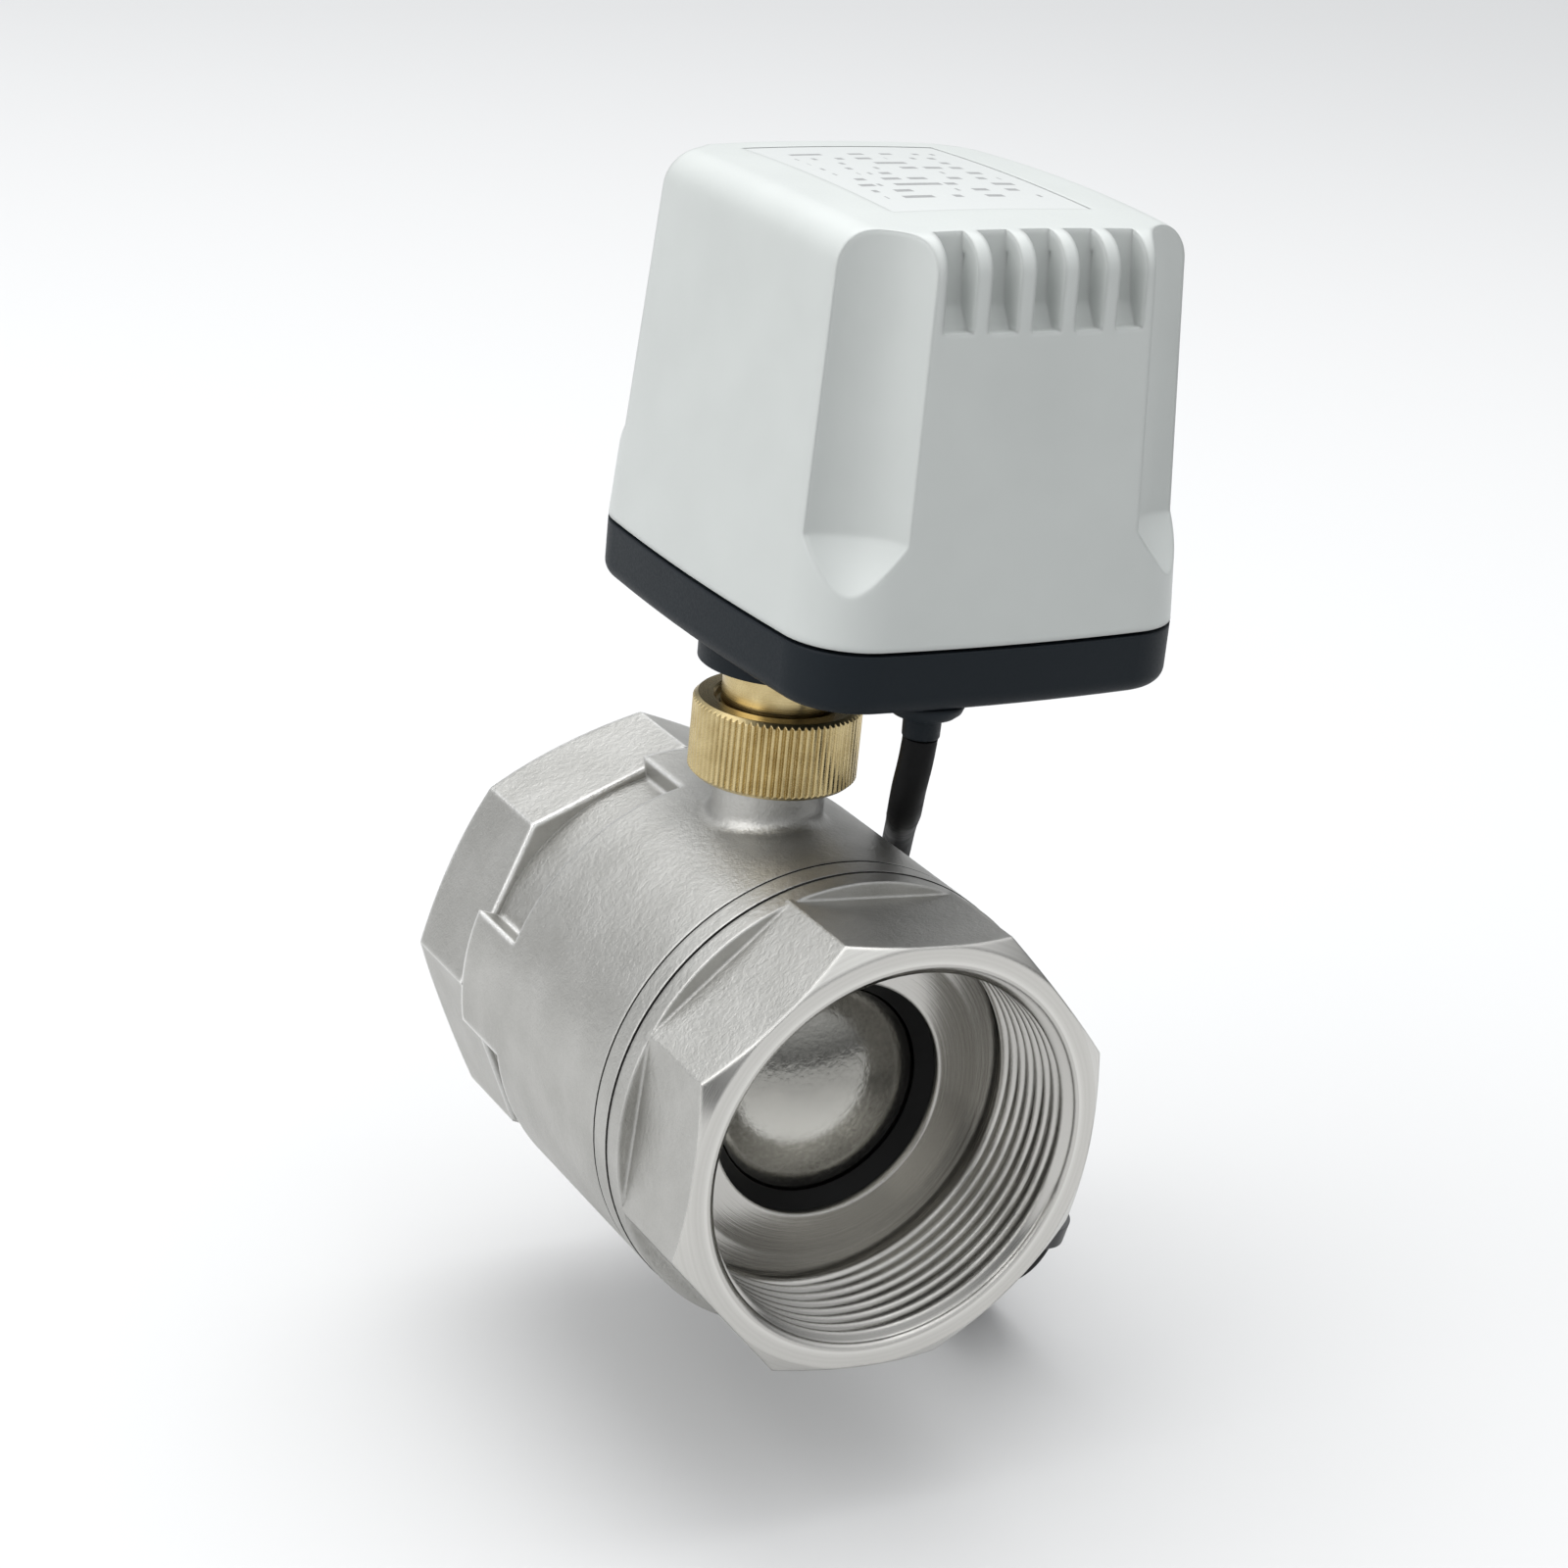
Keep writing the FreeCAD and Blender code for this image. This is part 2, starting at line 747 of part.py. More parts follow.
def make_ball():
    """Ball with its bore across the pipe, closed, and the slot for the stem's tang."""
    body = new_body("ball")
    sphere = body.newObject("PartDesign::AdditiveSphere", "ball_sphere")
    bind(sphere, "Radius", S.ball_radius)
    body.Tip = sphere
    bore = new_sketch(body, "YZ_Plane")
    draw_circle(bore, 0, 0, S.ball_bore_radius)
    cut(body, bore, S.ball_radius * 2 + 2, Midplane=True)
    slot = new_sketch(body, "XY_Plane", height=S.ball_slot_floor)
    draw_box(slot, 0, 0, S.ball_slot_length, S.ball_slot_width)
    cut(body, slot, S.ball_radius)
    return body


def make_seat(name, half_turn):
    """Seat ring with a round hollow that follows the ball."""
    body = new_body(name)
    back = S.seat_depth - S.seat_front_place
    outline = [
        (-S.seat_front_place, S.throat_radius),
        (-S.seat_front_place, S.seat_outer_radius),
        (back, S.seat_outer_radius),
        (back, S.seat_lip_radius),
        (-S.seat_lip_place, S.seat_lip_radius),
    ]
    turn_solid(body, "YZ_Plane", "H_Axis", outline)
    hollow = body.newObject("PartDesign::SubtractiveSphere", f"{name}_hollow")
    bind(hollow, "Radius", S.ball_radius + S.seat_clearance)
    body.Tip = hollow
    body.Placement = Placement(Vector(), Rotation(Vector(0, 0, 1), half_turn))
    return body


def make_stem():
    """Stem with its disc below, tang in the ball and square on top."""
    body = new_body("stem")
    outline = [
        (0, S.stem_disc_bottom),
        (S.stem_disc_radius, S.stem_disc_bottom),
        (S.stem_disc_radius, S.stem_disc_top),
        (S.stem_radius, S.stem_disc_top),
        (S.stem_radius, S.stem_square_start),
        (0, S.stem_square_start),
    ]
    turn_solid(body, "XZ_Plane", "V_Axis", outline)
    tang = new_sketch(body, "XY_Plane", height=S.tang_bottom)
    draw_box(tang, 0, 0, S.tang_length, S.tang_width)
    pad(body, tang, S.stem_disc_bottom - S.tang_bottom)
    square = new_sketch(body, "XY_Plane", height=S.stem_square_start)
    draw_box(square, 0, 0, S.stem_square, S.stem_square)
    pad(body, square, S.stem_top - S.stem_square_start)
    return body


def make_stem_seals():
    """Thrust washer, packing rings and slotted gland round the stem."""
    inner = S.stem_radius + S.stem_fit
    outer = S.packing_radius - 0.05
    washer_bottom = S.stem_disc_top + S.washer_gap
    washer = ring("stem_washer", inner, S.stem_disc_radius, washer_bottom, washer_bottom + S.washer_thickness)
    packing = new_body("stem_packing")
    stack = [(inner, S.packing_bottom)]
    for number in range(int(read("packing_rings"))):
        low = S.packing_bottom + S.packing_ring_height * number
        high = low + S.packing_ring_height
        stack += [(outer, low), (outer, high - 0.15), (outer - 0.5, high - 0.15), (outer - 0.5, high)]
    stack.append((inner, S.packing_bottom + S.packing_ring_height * S.packing_rings))
    turn_solid(packing, "XZ_Plane", "V_Axis", stack)
    bottom = S.packing_bottom + S.packing_ring_height * S.packing_rings
    gland = ring("packing_gland", inner, outer, bottom, bottom + S.gland_height)
    slot = new_sketch(gland, "XY_Plane", height=bottom + S.gland_height)
    draw_box(slot, 0, 0, S.packing_radius * 3, S.gland_slot)
    cut(gland, slot, S.gland_height / 3, Reversed=True)
    return [washer, packing, gland]


def make_union_nut():
    """Union nut with a straight knurl, thread bore and top lip."""
    body = new_body("union_nut")
    top = S.nut_bottom + S.nut_height
    lip = top - S.nut_lip
    outline = [
        (S.nut_bore_radius, S.nut_bottom),
        (S.nut_radius - S.nut_chamfer, S.nut_bottom),
        (S.nut_radius, S.nut_bottom + S.nut_chamfer),
        (S.nut_radius, top - S.nut_chamfer),
        (S.nut_radius - S.nut_chamfer, top),
        (S.nut_lip_radius + 0.4, top),
        (S.nut_lip_radius, top - 0.4),
        (S.nut_lip_radius, lip),
        (S.nut_bore_radius, lip),
    ]
    turn_solid(body, "XZ_Plane", "V_Axis", outline)
    groove = new_sketch(body, "XY_Plane", height=S.nut_bottom)
    half = S.nut_radius * math.pi / S.knurl_count * 0.8
    outer = S.nut_radius + 0.1
    draw_outline(groove, [(S.nut_radius - S.knurl_depth, 0), (outer, -half), (outer, half)])
    first = cut(body, groove, S.nut_height)
    doc.recompute()
    pattern = body.newObject("PartDesign::PolarPattern", "union_nut_knurl")
    pattern.Originals = [first]
    pattern.Axis = (groove, ["N_Axis"])
    pattern.Angle = 360
    bind(pattern, "Occurrences", S.knurl_count)
    body.Tip = pattern
    return body


def make_slip_ring():
    """Thin slip ring carried under the nut's lip."""
    top = S.nut_bottom + S.nut_height - S.nut_lip - 0.05
    inner, outer = S.collar_radius + 0.2, S.nut_bore_radius - 0.1
    return ring("slip_ring", inner, outer, top - S.slip_ring_thickness, top)


def make_collar():
    """Polished collar that the nut pulls down on the neck."""
    body = new_body("mounting_collar")
    flange_top = S.boss_top + S.collar_flange_height
    outline = [
        (S.collar_bore_radius, S.boss_top),
        (S.collar_flange_radius, S.boss_top),
        (S.collar_flange_radius, flange_top),
        (S.collar_radius, flange_top),
        (S.collar_radius, S.collar_top),
        (S.collar_bore_radius, S.collar_top),
    ]
    turn_solid(body, "XZ_Plane", "V_Axis", outline)
    return body


def make_output_shaft():
    """Actuator shaft with a square socket over the stem."""
    body = new_body("output_shaft")
    radius = S.collar_bore_radius - S.shaft_fit
    outline = [
        (0, S.shaft_bottom),
        (radius, S.shaft_bottom),
        (radius, S.shaft_step),
        (S.shaft_top_radius, S.shaft_step),
        (S.shaft_top_radius, S.shaft_top),
        (0, S.shaft_top),
    ]
    turn_solid(body, "XZ_Plane", "V_Axis", outline)
    socket = new_sketch(body, "XY_Plane", height=S.shaft_bottom)
    size = S.stem_square + S.socket_clearance * 2
    draw_box(socket, 0, 0, size, size)
    cut(body, socket, S.socket_depth)
    return body


def make_base():
    """Dark base tray with the boss for the collar and four screw holes."""
    body = new_body("base_housing")
    place(body, x=S.box_place)
    outer = new_sketch(body, "XY_Plane", height=S.base_bottom)
    draw_bulged_box(outer, S.box_half_width, S.box_half_length, S.side_bulge)
    tray = pad(body, outer, S.seam - S.base_bottom)
    rounded = fillet(body, tray, is_upright, S.corner_fillet)
    bottom = read("base_bottom")
    fillet(body, rounded, lambda edge: is_level(edge, bottom), S.base_edge_fillet)
    floor = S.base_bottom + S.base_floor
    hollow = new_sketch(body, "XY_Plane", height=floor)
    draw_inner_outline(hollow, S.wall, S.corner_fillet)
    cut(body, hollow, S.seam - floor + 1)
    boss = new_sketch(body, "XY_Plane", height=S.base_bottom - S.base_boss_drop)
    draw_circle(boss, -S.box_place, 0, S.base_boss_radius)
    pad(body, boss, S.base_boss_drop + S.base_floor)
    for sign_x, sign_y in corner_signs():
        post = new_sketch(body, "XY_Plane", height=S.base_bottom + 1)
        draw_circle(post, S.screw_place_x * sign_x, S.screw_place_y * sign_y, S.post_radius)
        pad(body, post, S.seam - S.base_bottom - 1)
    bore = new_sketch(body, "XY_Plane", height=S.base_bottom - S.base_boss_drop - 1)
    draw_circle(bore, -S.box_place, 0, S.collar_radius + 0.05)
    draw_circle(bore, S.cable_gland_x - S.box_place, S.cable_gland_y, S.cable_gland_hole)
    for sign_x, sign_y in corner_signs():
        draw_circle(bore, S.screw_place_x * sign_x, S.screw_place_y * sign_y, S.screw_radius + 0.1)
    cut(body, bore, S.seam)
    sink = new_sketch(body, "XY_Plane", height=S.base_bottom - 1)
    for sign_x, sign_y in corner_signs():
        draw_circle(sink, S.screw_place_x * sign_x, S.screw_place_y * sign_y, S.screw_head_radius + 0.2)
    cut(body, sink, S.screw_head + 1.4)
    return body


def corner_signs():
    """List the signs of the four corners."""
    return [(1, 1), (-1, 1), (-1, -1), (1, -1)]


def is_upright(edge):
    """Tell whether an edge runs from low to high at a corner."""
    box = edge.BoundBox
    return box.ZLength > 5 and box.XLength < 6 and box.YLength < 6


def is_level(edge, height):
    """Tell whether an edge lies at one height."""
    box = edge.BoundBox
    return box.ZLength < 0.01 and abs(box.ZMin - height) < 0.01


def draw_inner_outline(sketch, inset, cut_back):
    """Draw the inside of the housing: straight sides with cut corners."""
    half_x = S.box_half_width - S.side_bulge - inset
    half_y = S.box_half_length - S.side_bulge - inset
    step = cut_back / 2
    draw_outline(
        sketch,
        [
            (half_x, step - half_y),
            (half_x, half_y - step),
            (half_x - step, half_y),
            (step - half_x, half_y),
            (-half_x, half_y - step),
            (-half_x, step - half_y),
            (step - half_x, -half_y),
            (half_x - step, -half_y),
        ],
    )


def make_cover():
    """Light cover with draft, domed top, corner scoops, vents and a label recess."""
    body = new_body("cover")
    place(body, x=S.box_place)
    bottom = S.seam + S.gasket_seam
    outer = new_sketch(body, "XY_Plane", height=bottom)
    draw_bulged_box(outer, S.box_half_width, S.box_half_length, S.side_bulge)
    shell = pad(body, outer, S.cover_top + 2 - bottom, TaperAngle=-S.cover_draft)
    fillet(body, shell, is_upright, S.corner_fillet)
    dome = cut_dome(body)
    low = read("cover_top") - read("dome_drop") - 3
    fillet(body, dome, lambda edge: edge.BoundBox.ZMin > low, S.cover_edge_fillet)
    for sign_x, sign_y in corner_signs():
        cut_scoop(body, sign_x, sign_y)
    add_cover_inside(body, bottom)
    add_vents(body)
    body.Label = "cover_shell"
    recess = domed_plate("recess", S.label_width, S.label_length, -2, S.label_recess)
    cover = doc.addObject("Part::Cut", "cover")
    cover.Label = "cover"
    cover.Base = body
    cover.Tool = recess
    return cover


def dome_radius(reach):
    """Give the radius of the sphere that rounds the cover's top."""
    return (reach * reach / S.dome_drop + S.dome_drop) / 2


def domed_plate(name, width, length, outer_depth, inner_depth):
    """Make a rectangular plate whose faces lie at two depths below the dome."""
    block = doc.addObject("Part::Box", f"{name}_block")
    bind(block, "Length", width)
    bind(block, "Width", length)
    bind(block, "Height", S.dome_drop * 2)
    place(block, S.box_place - width / 2, S.label_place - length / 2, S.cover_top - S.dome_drop)
    radius = dome_radius(S.box_half_length + S.dome_overreach)
    spheres = []
    for label, depth in (("outer", outer_depth), ("inner", inner_depth)):
        sphere = doc.addObject("Part::Sphere", f"{name}_{label}_sphere")
        bind(sphere, "Radius", radius - depth)
        place(sphere, S.box_place, 0, S.cover_top - radius)
        spheres.append(sphere)
    capped = doc.addObject("Part::Common", f"{name}_capped")
    capped.Base = block
    capped.Tool = spheres[0]
    plate = doc.addObject("Part::Cut", name)
    plate.Base = capped
    plate.Tool = spheres[1]
    return plate


def cut_dome(body):
    """Round the top of the cover to a shallow dome."""
    sketch = new_sketch(body, "XZ_Plane")
    reach = S.box_half_length + S.dome_overreach
    top = S.cover_top
    draw_outline(sketch, [(0, top + 5), (0, top), (reach, top - S.dome_drop), (reach, top + 5)])
    sketch.delGeometry(1)
    radius = dome_radius(reach)
    centre = Vector(0, top.value - radius.value, 0)
    circle = Part.Circle(centre, Vector(0, 0, 1), radius.value)
    start = math.acos(reach.value / radius.value)
    arc = sketch.addGeometry(Part.ArcOfCircle(circle, start, math.pi / 2))
    constrain(sketch, "Coincident", arc, 2, 0, 2)
    constrain(sketch, "Coincident", arc, 1, 1, 1)
    constrain(sketch, "PointOnObject", arc, 3, -2)
    return add_feature(body, "Groove", sketch, ReferenceAxis=(sketch, ["V_Axis"]), Angle=360)


def cut_scoop(body, sign_x, sign_y):
    """Cut a leaning round channel down one upper corner, ending in a cone."""
    x, y = S.scoop_axis_x * sign_x, S.scoop_axis_y * sign_y
    outward = math.degrees(math.atan2(y.value, x.value))
    sketch = new_sketch(body, "XZ_Plane")
    facing = Rotation(Vector(0, 1, 0), outward)
    lean = Rotation(Vector(0, 0, 1), read("cover_draft"))
    low = S.scoop_floor
    sketch.AttachmentOffset = Placement(Vector(x.value, low.value, -y.value), facing.multiply(lean))
    for axis, size in (("x", x), ("y", low), ("z", -y)):
        sketch.setExpression(f"AttachmentOffset.Base.{axis}", size.text)
    high = S.cover_top - S.scoop_floor + 4
    draw_outline(sketch, [(0, -S.scoop_cone), (S.scoop_radius, 0), (S.scoop_radius, high), (0, high)])
    add_feature(body, "Groove", sketch, ReferenceAxis=(sketch, ["V_Axis"]), Angle=360)


def roof_level():
    """Give the height of the roof's underside."""
    return S.cover_top - S.cover_roof - S.dome_drop / 3


def add_cover_inside(body, bottom):
    """Hollow the cover, clear the output gear and add the screw posts."""
    middle = S.scoop_floor - S.cover_roof * 2
    low = new_sketch(body, "XY_Plane", height=bottom)
    draw_inner_outline(low, S.wall, S.corner_fillet)
    cut(body, low, middle - bottom, TaperAngle=-S.cover_draft)
    high = new_sketch(body, "XY_Plane", height=middle - 0.5)
    draw_scooped_inside(high)
    cut(body, high, roof_level() - middle + 0.5, TaperAngle=-S.cover_draft)
    relief = new_sketch(body, "XY_Plane", height=bottom)
    gear_reach = S.output_module * (S.output_teeth + 2) / 2
    draw_circle(relief, -S.box_place, 0, gear_reach + S.gear_relief)
    cut(body, relief, S.level_c - bottom)
    for sign_x, sign_y in corner_signs():
        post = new_sketch(body, "XY_Plane", height=bottom)
        draw_circle(post, S.screw_place_x * sign_x, S.screw_place_y * sign_y, S.post_radius)
        pad(body, post, middle + 0.5 - bottom)
    holes = new_sketch(body, "XY_Plane", height=bottom - 1)
    for sign_x, sign_y in corner_signs():
        draw_circle(holes, S.screw_place_x * sign_x, S.screw_place_y * sign_y, S.screw_radius + 0.05)
    cut(body, holes, S.screw_length - 2)


def draw_scooped_inside(sketch):
    """Draw the inside of the upper cover, with its corners cut parallel to the scoops."""
    shrink = (S.scoop_floor - S.seam) * math.tan(math.radians(read("cover_draft")))
    half_x = S.box_half_width - S.side_bulge - S.wall - shrink
    half_y = S.box_half_length - S.side_bulge - S.wall - shrink
    near_x = S.box_half_width - S.inner_cut_x
    near_y = S.box_half_length - S.inner_cut_y
    draw_outline(
        sketch,
        [
            (half_x, -near_y),
            (half_x, near_y),
            (near_x, half_y),
            (-near_x, half_y),
            (-half_x, near_y),
            (-half_x, -near_y),
            (-near_x, -half_y),
            (near_x, -half_y),
        ],
    )


def add_vents(body):
    """Back the vents with a block and cut their blind slots over the top edge."""
    span = S.vent_pitch * (S.vent_count - 1) + S.vent_width + S.vent_backing * 2
    face = -S.box_half_length
    block = new_sketch(body, "YZ_Plane")
    inner = face + S.vent_depth + S.vent_backing + 2
    low = S.vent_bottom - 5
    high = roof_level() + 0.5
    draw_outline(block, [(face + 5, low), (inner, low + 5), (inner, high), (face + 8, high)])
    pad(body, block, span, Midplane=True)
    slot = new_sketch(body, "YZ_Plane", height=-(S.vent_pitch * (S.vent_count - 1) / 2))
    draw_outline(
        slot,
        [
            (face - 1, S.vent_bottom),
            (face + 5, S.vent_bottom),
            (face + S.vent_depth, S.vent_bottom + 3),
            (face + S.vent_depth + 2, S.cover_top + 1),
            (face - 1, S.cover_top + 1),
        ],
    )
    first = cut(body, slot, S.vent_width, Midplane=True)
    doc.recompute()
    pattern = body.newObject("PartDesign::LinearPattern", "cover_vents")
    pattern.Originals = [first]
    pattern.Direction = (slot, ["N_Axis"])
    bind(pattern, "Length", S.vent_pitch * (S.vent_count - 1))
    bind(pattern, "Occurrences", S.vent_count)
    body.Tip = pattern


def make_cover_gasket():
    """Flat seal in the seam between base and cover."""
    body = new_body("cover_gasket")
    place(body, x=S.box_place)
    outer = new_sketch(body, "XY_Plane", height=S.seam)
    draw_inner_outline(outer, 0.9, S.corner_fillet)
    pad(body, outer, S.gasket_seam)
    hollow = new_sketch(body, "XY_Plane", height=S.seam - 1)
    draw_inner_outline(hollow, S.wall, S.corner_fillet)
    cut(body, hollow, S.gasket_seam + 2)
    return body


def make_cover_screws():
    """Four screws from below through the base into the cover's posts."""
    screws = []
    bottom = S.base_bottom + 0.4
    head_top = bottom + S.screw_head
    for sign_x, sign_y in corner_signs():
        screw = doc.addObject("Part::Cylinder", "screw_shank")
        bind(screw, "Radius", S.screw_radius)
        bind(screw, "Height", S.screw_length)
        place(screw, S.box_place + S.screw_place_x * sign_x, S.screw_place_y * sign_y, head_top)
        head = doc.addObject("Part::Cylinder", "screw_head")
        bind(head, "Radius", S.screw_head_radius)
        bind(head, "Height", S.screw_head)
        place(head, S.box_place + S.screw_place_x * sign_x, S.screw_place_y * sign_y, bottom)
        whole = doc.addObject("Part::Fuse", "screw_whole")
        whole.Base = screw
        whole.Tool = head
        screws.append(whole)
    return group("cover_screws", screws)


def group(name, pieces):
    """Keep alike pieces together as one sub-part of separate solids."""
    item = doc.addObject("Part::Compound", name)
    item.Label = name
    item.Links = pieces
    return item


def make_label_panel():
    """Thin bare plate in the recess on the cover's top."""
    fit = S.label_fit * 2
    top = S.label_recess - S.label_thickness
    plate = domed_plate("label_panel", S.label_width - fit, S.label_length - fit, top, S.label_recess)
    plate.Label = "label_panel"
    return plate


def gear_ring(module, teeth, bottom, height, tooth_angle):
    """Make a toothed disc with one tooth centred at an angle."""
    wire = fcgear.FCWireBuilder()
    involute.CreateExternalGear(wire, module, int(teeth), 20.0, True, 0.8, 1.05, 0.3, 0.0)
    outline = Part.Wire([piece.toShape() for piece in wire.wire])
    disc = Part.Face(outline).extrude(Vector(0, 0, height))
    disc.translate(Vector(0, 0, bottom))
    disc.rotate(Vector(), Vector(0, 0, 1), tooth_angle)
    return disc


def tube(inner, outer, bottom, top):
    """Make a plain sleeve about the Z axis."""
    sleeve = Part.makeCylinder(outer, top - bottom, Vector(0, 0, bottom))
    return sleeve.cut(Part.makeCylinder(inner, top - bottom, Vector(0, 0, bottom)))


def keep_shape(name, shape, at=(0, 0)):
    """Keep a computed shape as a sub-part and put it in its place."""
    item = doc.addObject("Part::Feature", name)
    item.Label = name
    item.Shape = shape
    item.Placement = Placement(Vector(at[0], at[1], 0), Rotation())
    return item


def centre_distances():
    """List the centre distances of the four gear meshes."""
    pairs = [
        ("output_module", "output_teeth", "pinion_teeth"),
        ("second_module", "wheel_c_teeth", "pinion_teeth"),
        ("fine_module", "wheel_b_teeth", "pinion_teeth"),
        ("fine_module", "wheel_a_teeth", "motor_teeth"),
    ]
    play = read("mesh_play")
    return [read(module) * (read(first) + read(second)) / 2 + play for module, first, second in pairs]


def gear_places():
    """List where the axes of gears C, B, A and the motor stand."""
    x = y = 0.0
    places = []
    for distance, name in zip(centre_distances(), ("angle_c", "angle_b", "angle_a", "angle_motor")):
        angle = math.radians(read(name))
        x += distance * math.cos(angle)
        y += distance * math.sin(angle)
        places.append((x, y))
    return places


def make_output_gear():
    """Large gear on the output shaft, with a gap towards gear C."""
    low = read("output_gear_level")
    teeth = read("output_teeth")
    tooth = read("angle_c") + 180 / teeth
    wheel = gear_ring(read("output_module"), teeth, low, read("output_gear_width"), tooth)
    radius = read("shaft_top_radius")
    hub_bottom = read("lower_plate") + read("plate_thickness") + read("bush_flange") + read("end_play")
    hub = tube(radius, radius + 3, hub_bottom, low + read("output_gear_width") + 1)
    bore = Part.makeCylinder(radius, 40, Vector(0, 0, low - 10))
    return keep_shape("output_gear", wheel.cut(bore).fuse(hub).removeSplitter())


def make_compound_gear(name, at, pinion, wheel, levels):
    """Pinion and wheel on one hub, running on an axle between the plates."""
    pinion_module, pinion_angle = pinion
    wheel_module, wheel_teeth, wheel_angle = wheel
    low, level = levels
    bore = read("axle_radius") + read("axle_fit")
    bottom = read("lower_plate") + read("plate_thickness") + read("end_play")
    top = read("upper_plate") - read("end_play")
    teeth = read("pinion_teeth")
    small = gear_ring(pinion_module, teeth, low, level - low, pinion_angle)
    large = gear_ring(wheel_module, wheel_teeth, level, read("wheel_width"), wheel_angle + 180 / wheel_teeth)
    hub = Part.makeCylinder(read("hub_radius"), top - bottom, Vector(0, 0, bottom))
    hole = Part.makeCylinder(bore, top - bottom + 2, Vector(0, 0, bottom - 1))
    return keep_shape(name, small.fuse([large, hub]).removeSplitter().cut(hole), at)


def make_gears():
    """Three compound gears and the motor's pinion."""
    place_c, place_b, place_a, place_motor = gear_places()
    overlap = read("pinion_overlap") - 3
    level_c, level_b, level_a = (read(name) for name in ("level_c", "level_b", "level_a"))
    angle_c, angle_b, angle_a, angle_m = (
        read(name) for name in ("angle_c", "angle_b", "angle_a", "angle_motor")
    )
    second, fine = read("second_module"), read("fine_module")
    first_low = read("output_gear_level") - 0.5
    gears = [
        make_compound_gear(
            "gear_c",
            place_c,
            (read("output_module"), angle_c + 180),
            (second, read("wheel_c_teeth"), angle_b),
            (first_low, level_c),
        ),
        make_compound_gear(
            "gear_b",
            place_b,
            (second, angle_b + 180),
            (fine, read("wheel_b_teeth"), angle_a),
            (level_c - overlap, level_b),
        ),
        make_compound_gear(
            "gear_a",
            place_a,
            (fine, angle_a + 180),
            (fine, read("wheel_a_teeth"), angle_m),
            (level_b - overlap, level_a),
        ),
    ]
    rod_bottom = level_a - overlap
    width = read("wheel_width") + 2 * overlap
    teeth = gear_ring(fine, read("motor_teeth"), rod_bottom, width, angle_m + 180)
    rod_top = read("upper_plate") + read("plate_thickness") + 6
    rod = Part.makeCylinder(read("motor_shaft_radius"), rod_top - rod_bottom, Vector(0, 0, rod_bottom))
    gears.append(keep_shape("motor_pinion", teeth.fuse(rod).removeSplitter(), place_motor))
    return gears


def make_plate(name, bottom, extra_holes):
    """Gear plate with rounded corners and holes for shaft, pillars, axles and motor."""
    body = new_body(name)
    place(body, x=S.box_place)
    sketch = new_sketch(body, "XY_Plane", height=bottom)
    draw_box(sketch, 0, 0, S.plate_half_width * 2, S.plate_half_length * 2)
    plate = pad(body, sketch, S.plate_thickness)
    fillet(body, plate, lambda edge: edge.BoundBox.ZLength > 0.5, 3.0)
    holes = new_sketch(body, "XY_Plane", height=bottom - 1)
    draw_circle(holes, -S.box_place, 0, S.shaft_top_radius + 1.5)
    for sign_x, sign_y in corner_signs():
        x = (S.plate_half_width - S.pillar_inset) * sign_x
        y = (S.plate_half_length - S.pillar_inset) * sign_y
        draw_circle(holes, x, y, S.pillar_pin_radius)
    for x, y in gear_places()[:3]:
        draw_circle(holes, as_size(x) - S.box_place, y, S.axle_radius)
    for x, y, radius in extra_holes:
        draw_circle(holes, as_size(x) - S.box_place, y, radius)
    cut(body, holes, S.plate_thickness + 2)
    return body


def motor_screw_places():
    """List where the two motor screws stand."""
    x, y = gear_places()[3]
    reach = read("motor_screw_place")
    return [(x - reach, y), (x + reach, y)]


def make_plates():
    """Lower and upper gear plate with their bushes, pillars and axles."""
    motor_x, motor_y = gear_places()[3]
    holes = [(motor_x, motor_y, S.motor_shaft_radius + 2.5)]
    holes += [(x, y, S.motor_screw_radius) for x, y in motor_screw_places()]
    lower = make_plate("lower_gear_plate", S.lower_plate, [])
    upper = make_plate("upper_gear_plate", S.upper_plate, holes)
    bushes = []
    for name, bottom in (("lower_shaft_bush", S.lower_plate), ("upper_shaft_bush", S.upper_plate)):
        bush = new_body(name)
        radius = S.shaft_top_radius
        outline = [
            (radius + S.shaft_fit, bottom),
            (radius + 1.5, bottom),
            (radius + 1.5, bottom + S.plate_thickness),
            (radius + 2.4, bottom + S.plate_thickness),
            (radius + 2.4, bottom + S.plate_thickness + S.bush_flange),
            (radius + S.shaft_fit, bottom + S.plate_thickness + S.bush_flange),
        ]
        turn_solid(bush, "XZ_Plane", "V_Axis", outline)
        bushes.append(bush)
    return [lower, upper, *bushes, make_pillars(), make_axles()]


def turned_pin(profile, at=(0, 0)):
    """Turn a stepped pin about Z and stand it at a place."""
    wire = Part.makePolygon([Vector(radius, 0, height) for radius, height in profile + profile[:1]])
    pin_shape = Part.Face(wire).revolve(Vector(), Vector(0, 0, 1), 360)
    pin_shape.translate(Vector(at[0], at[1], 0))
    return pin_shape


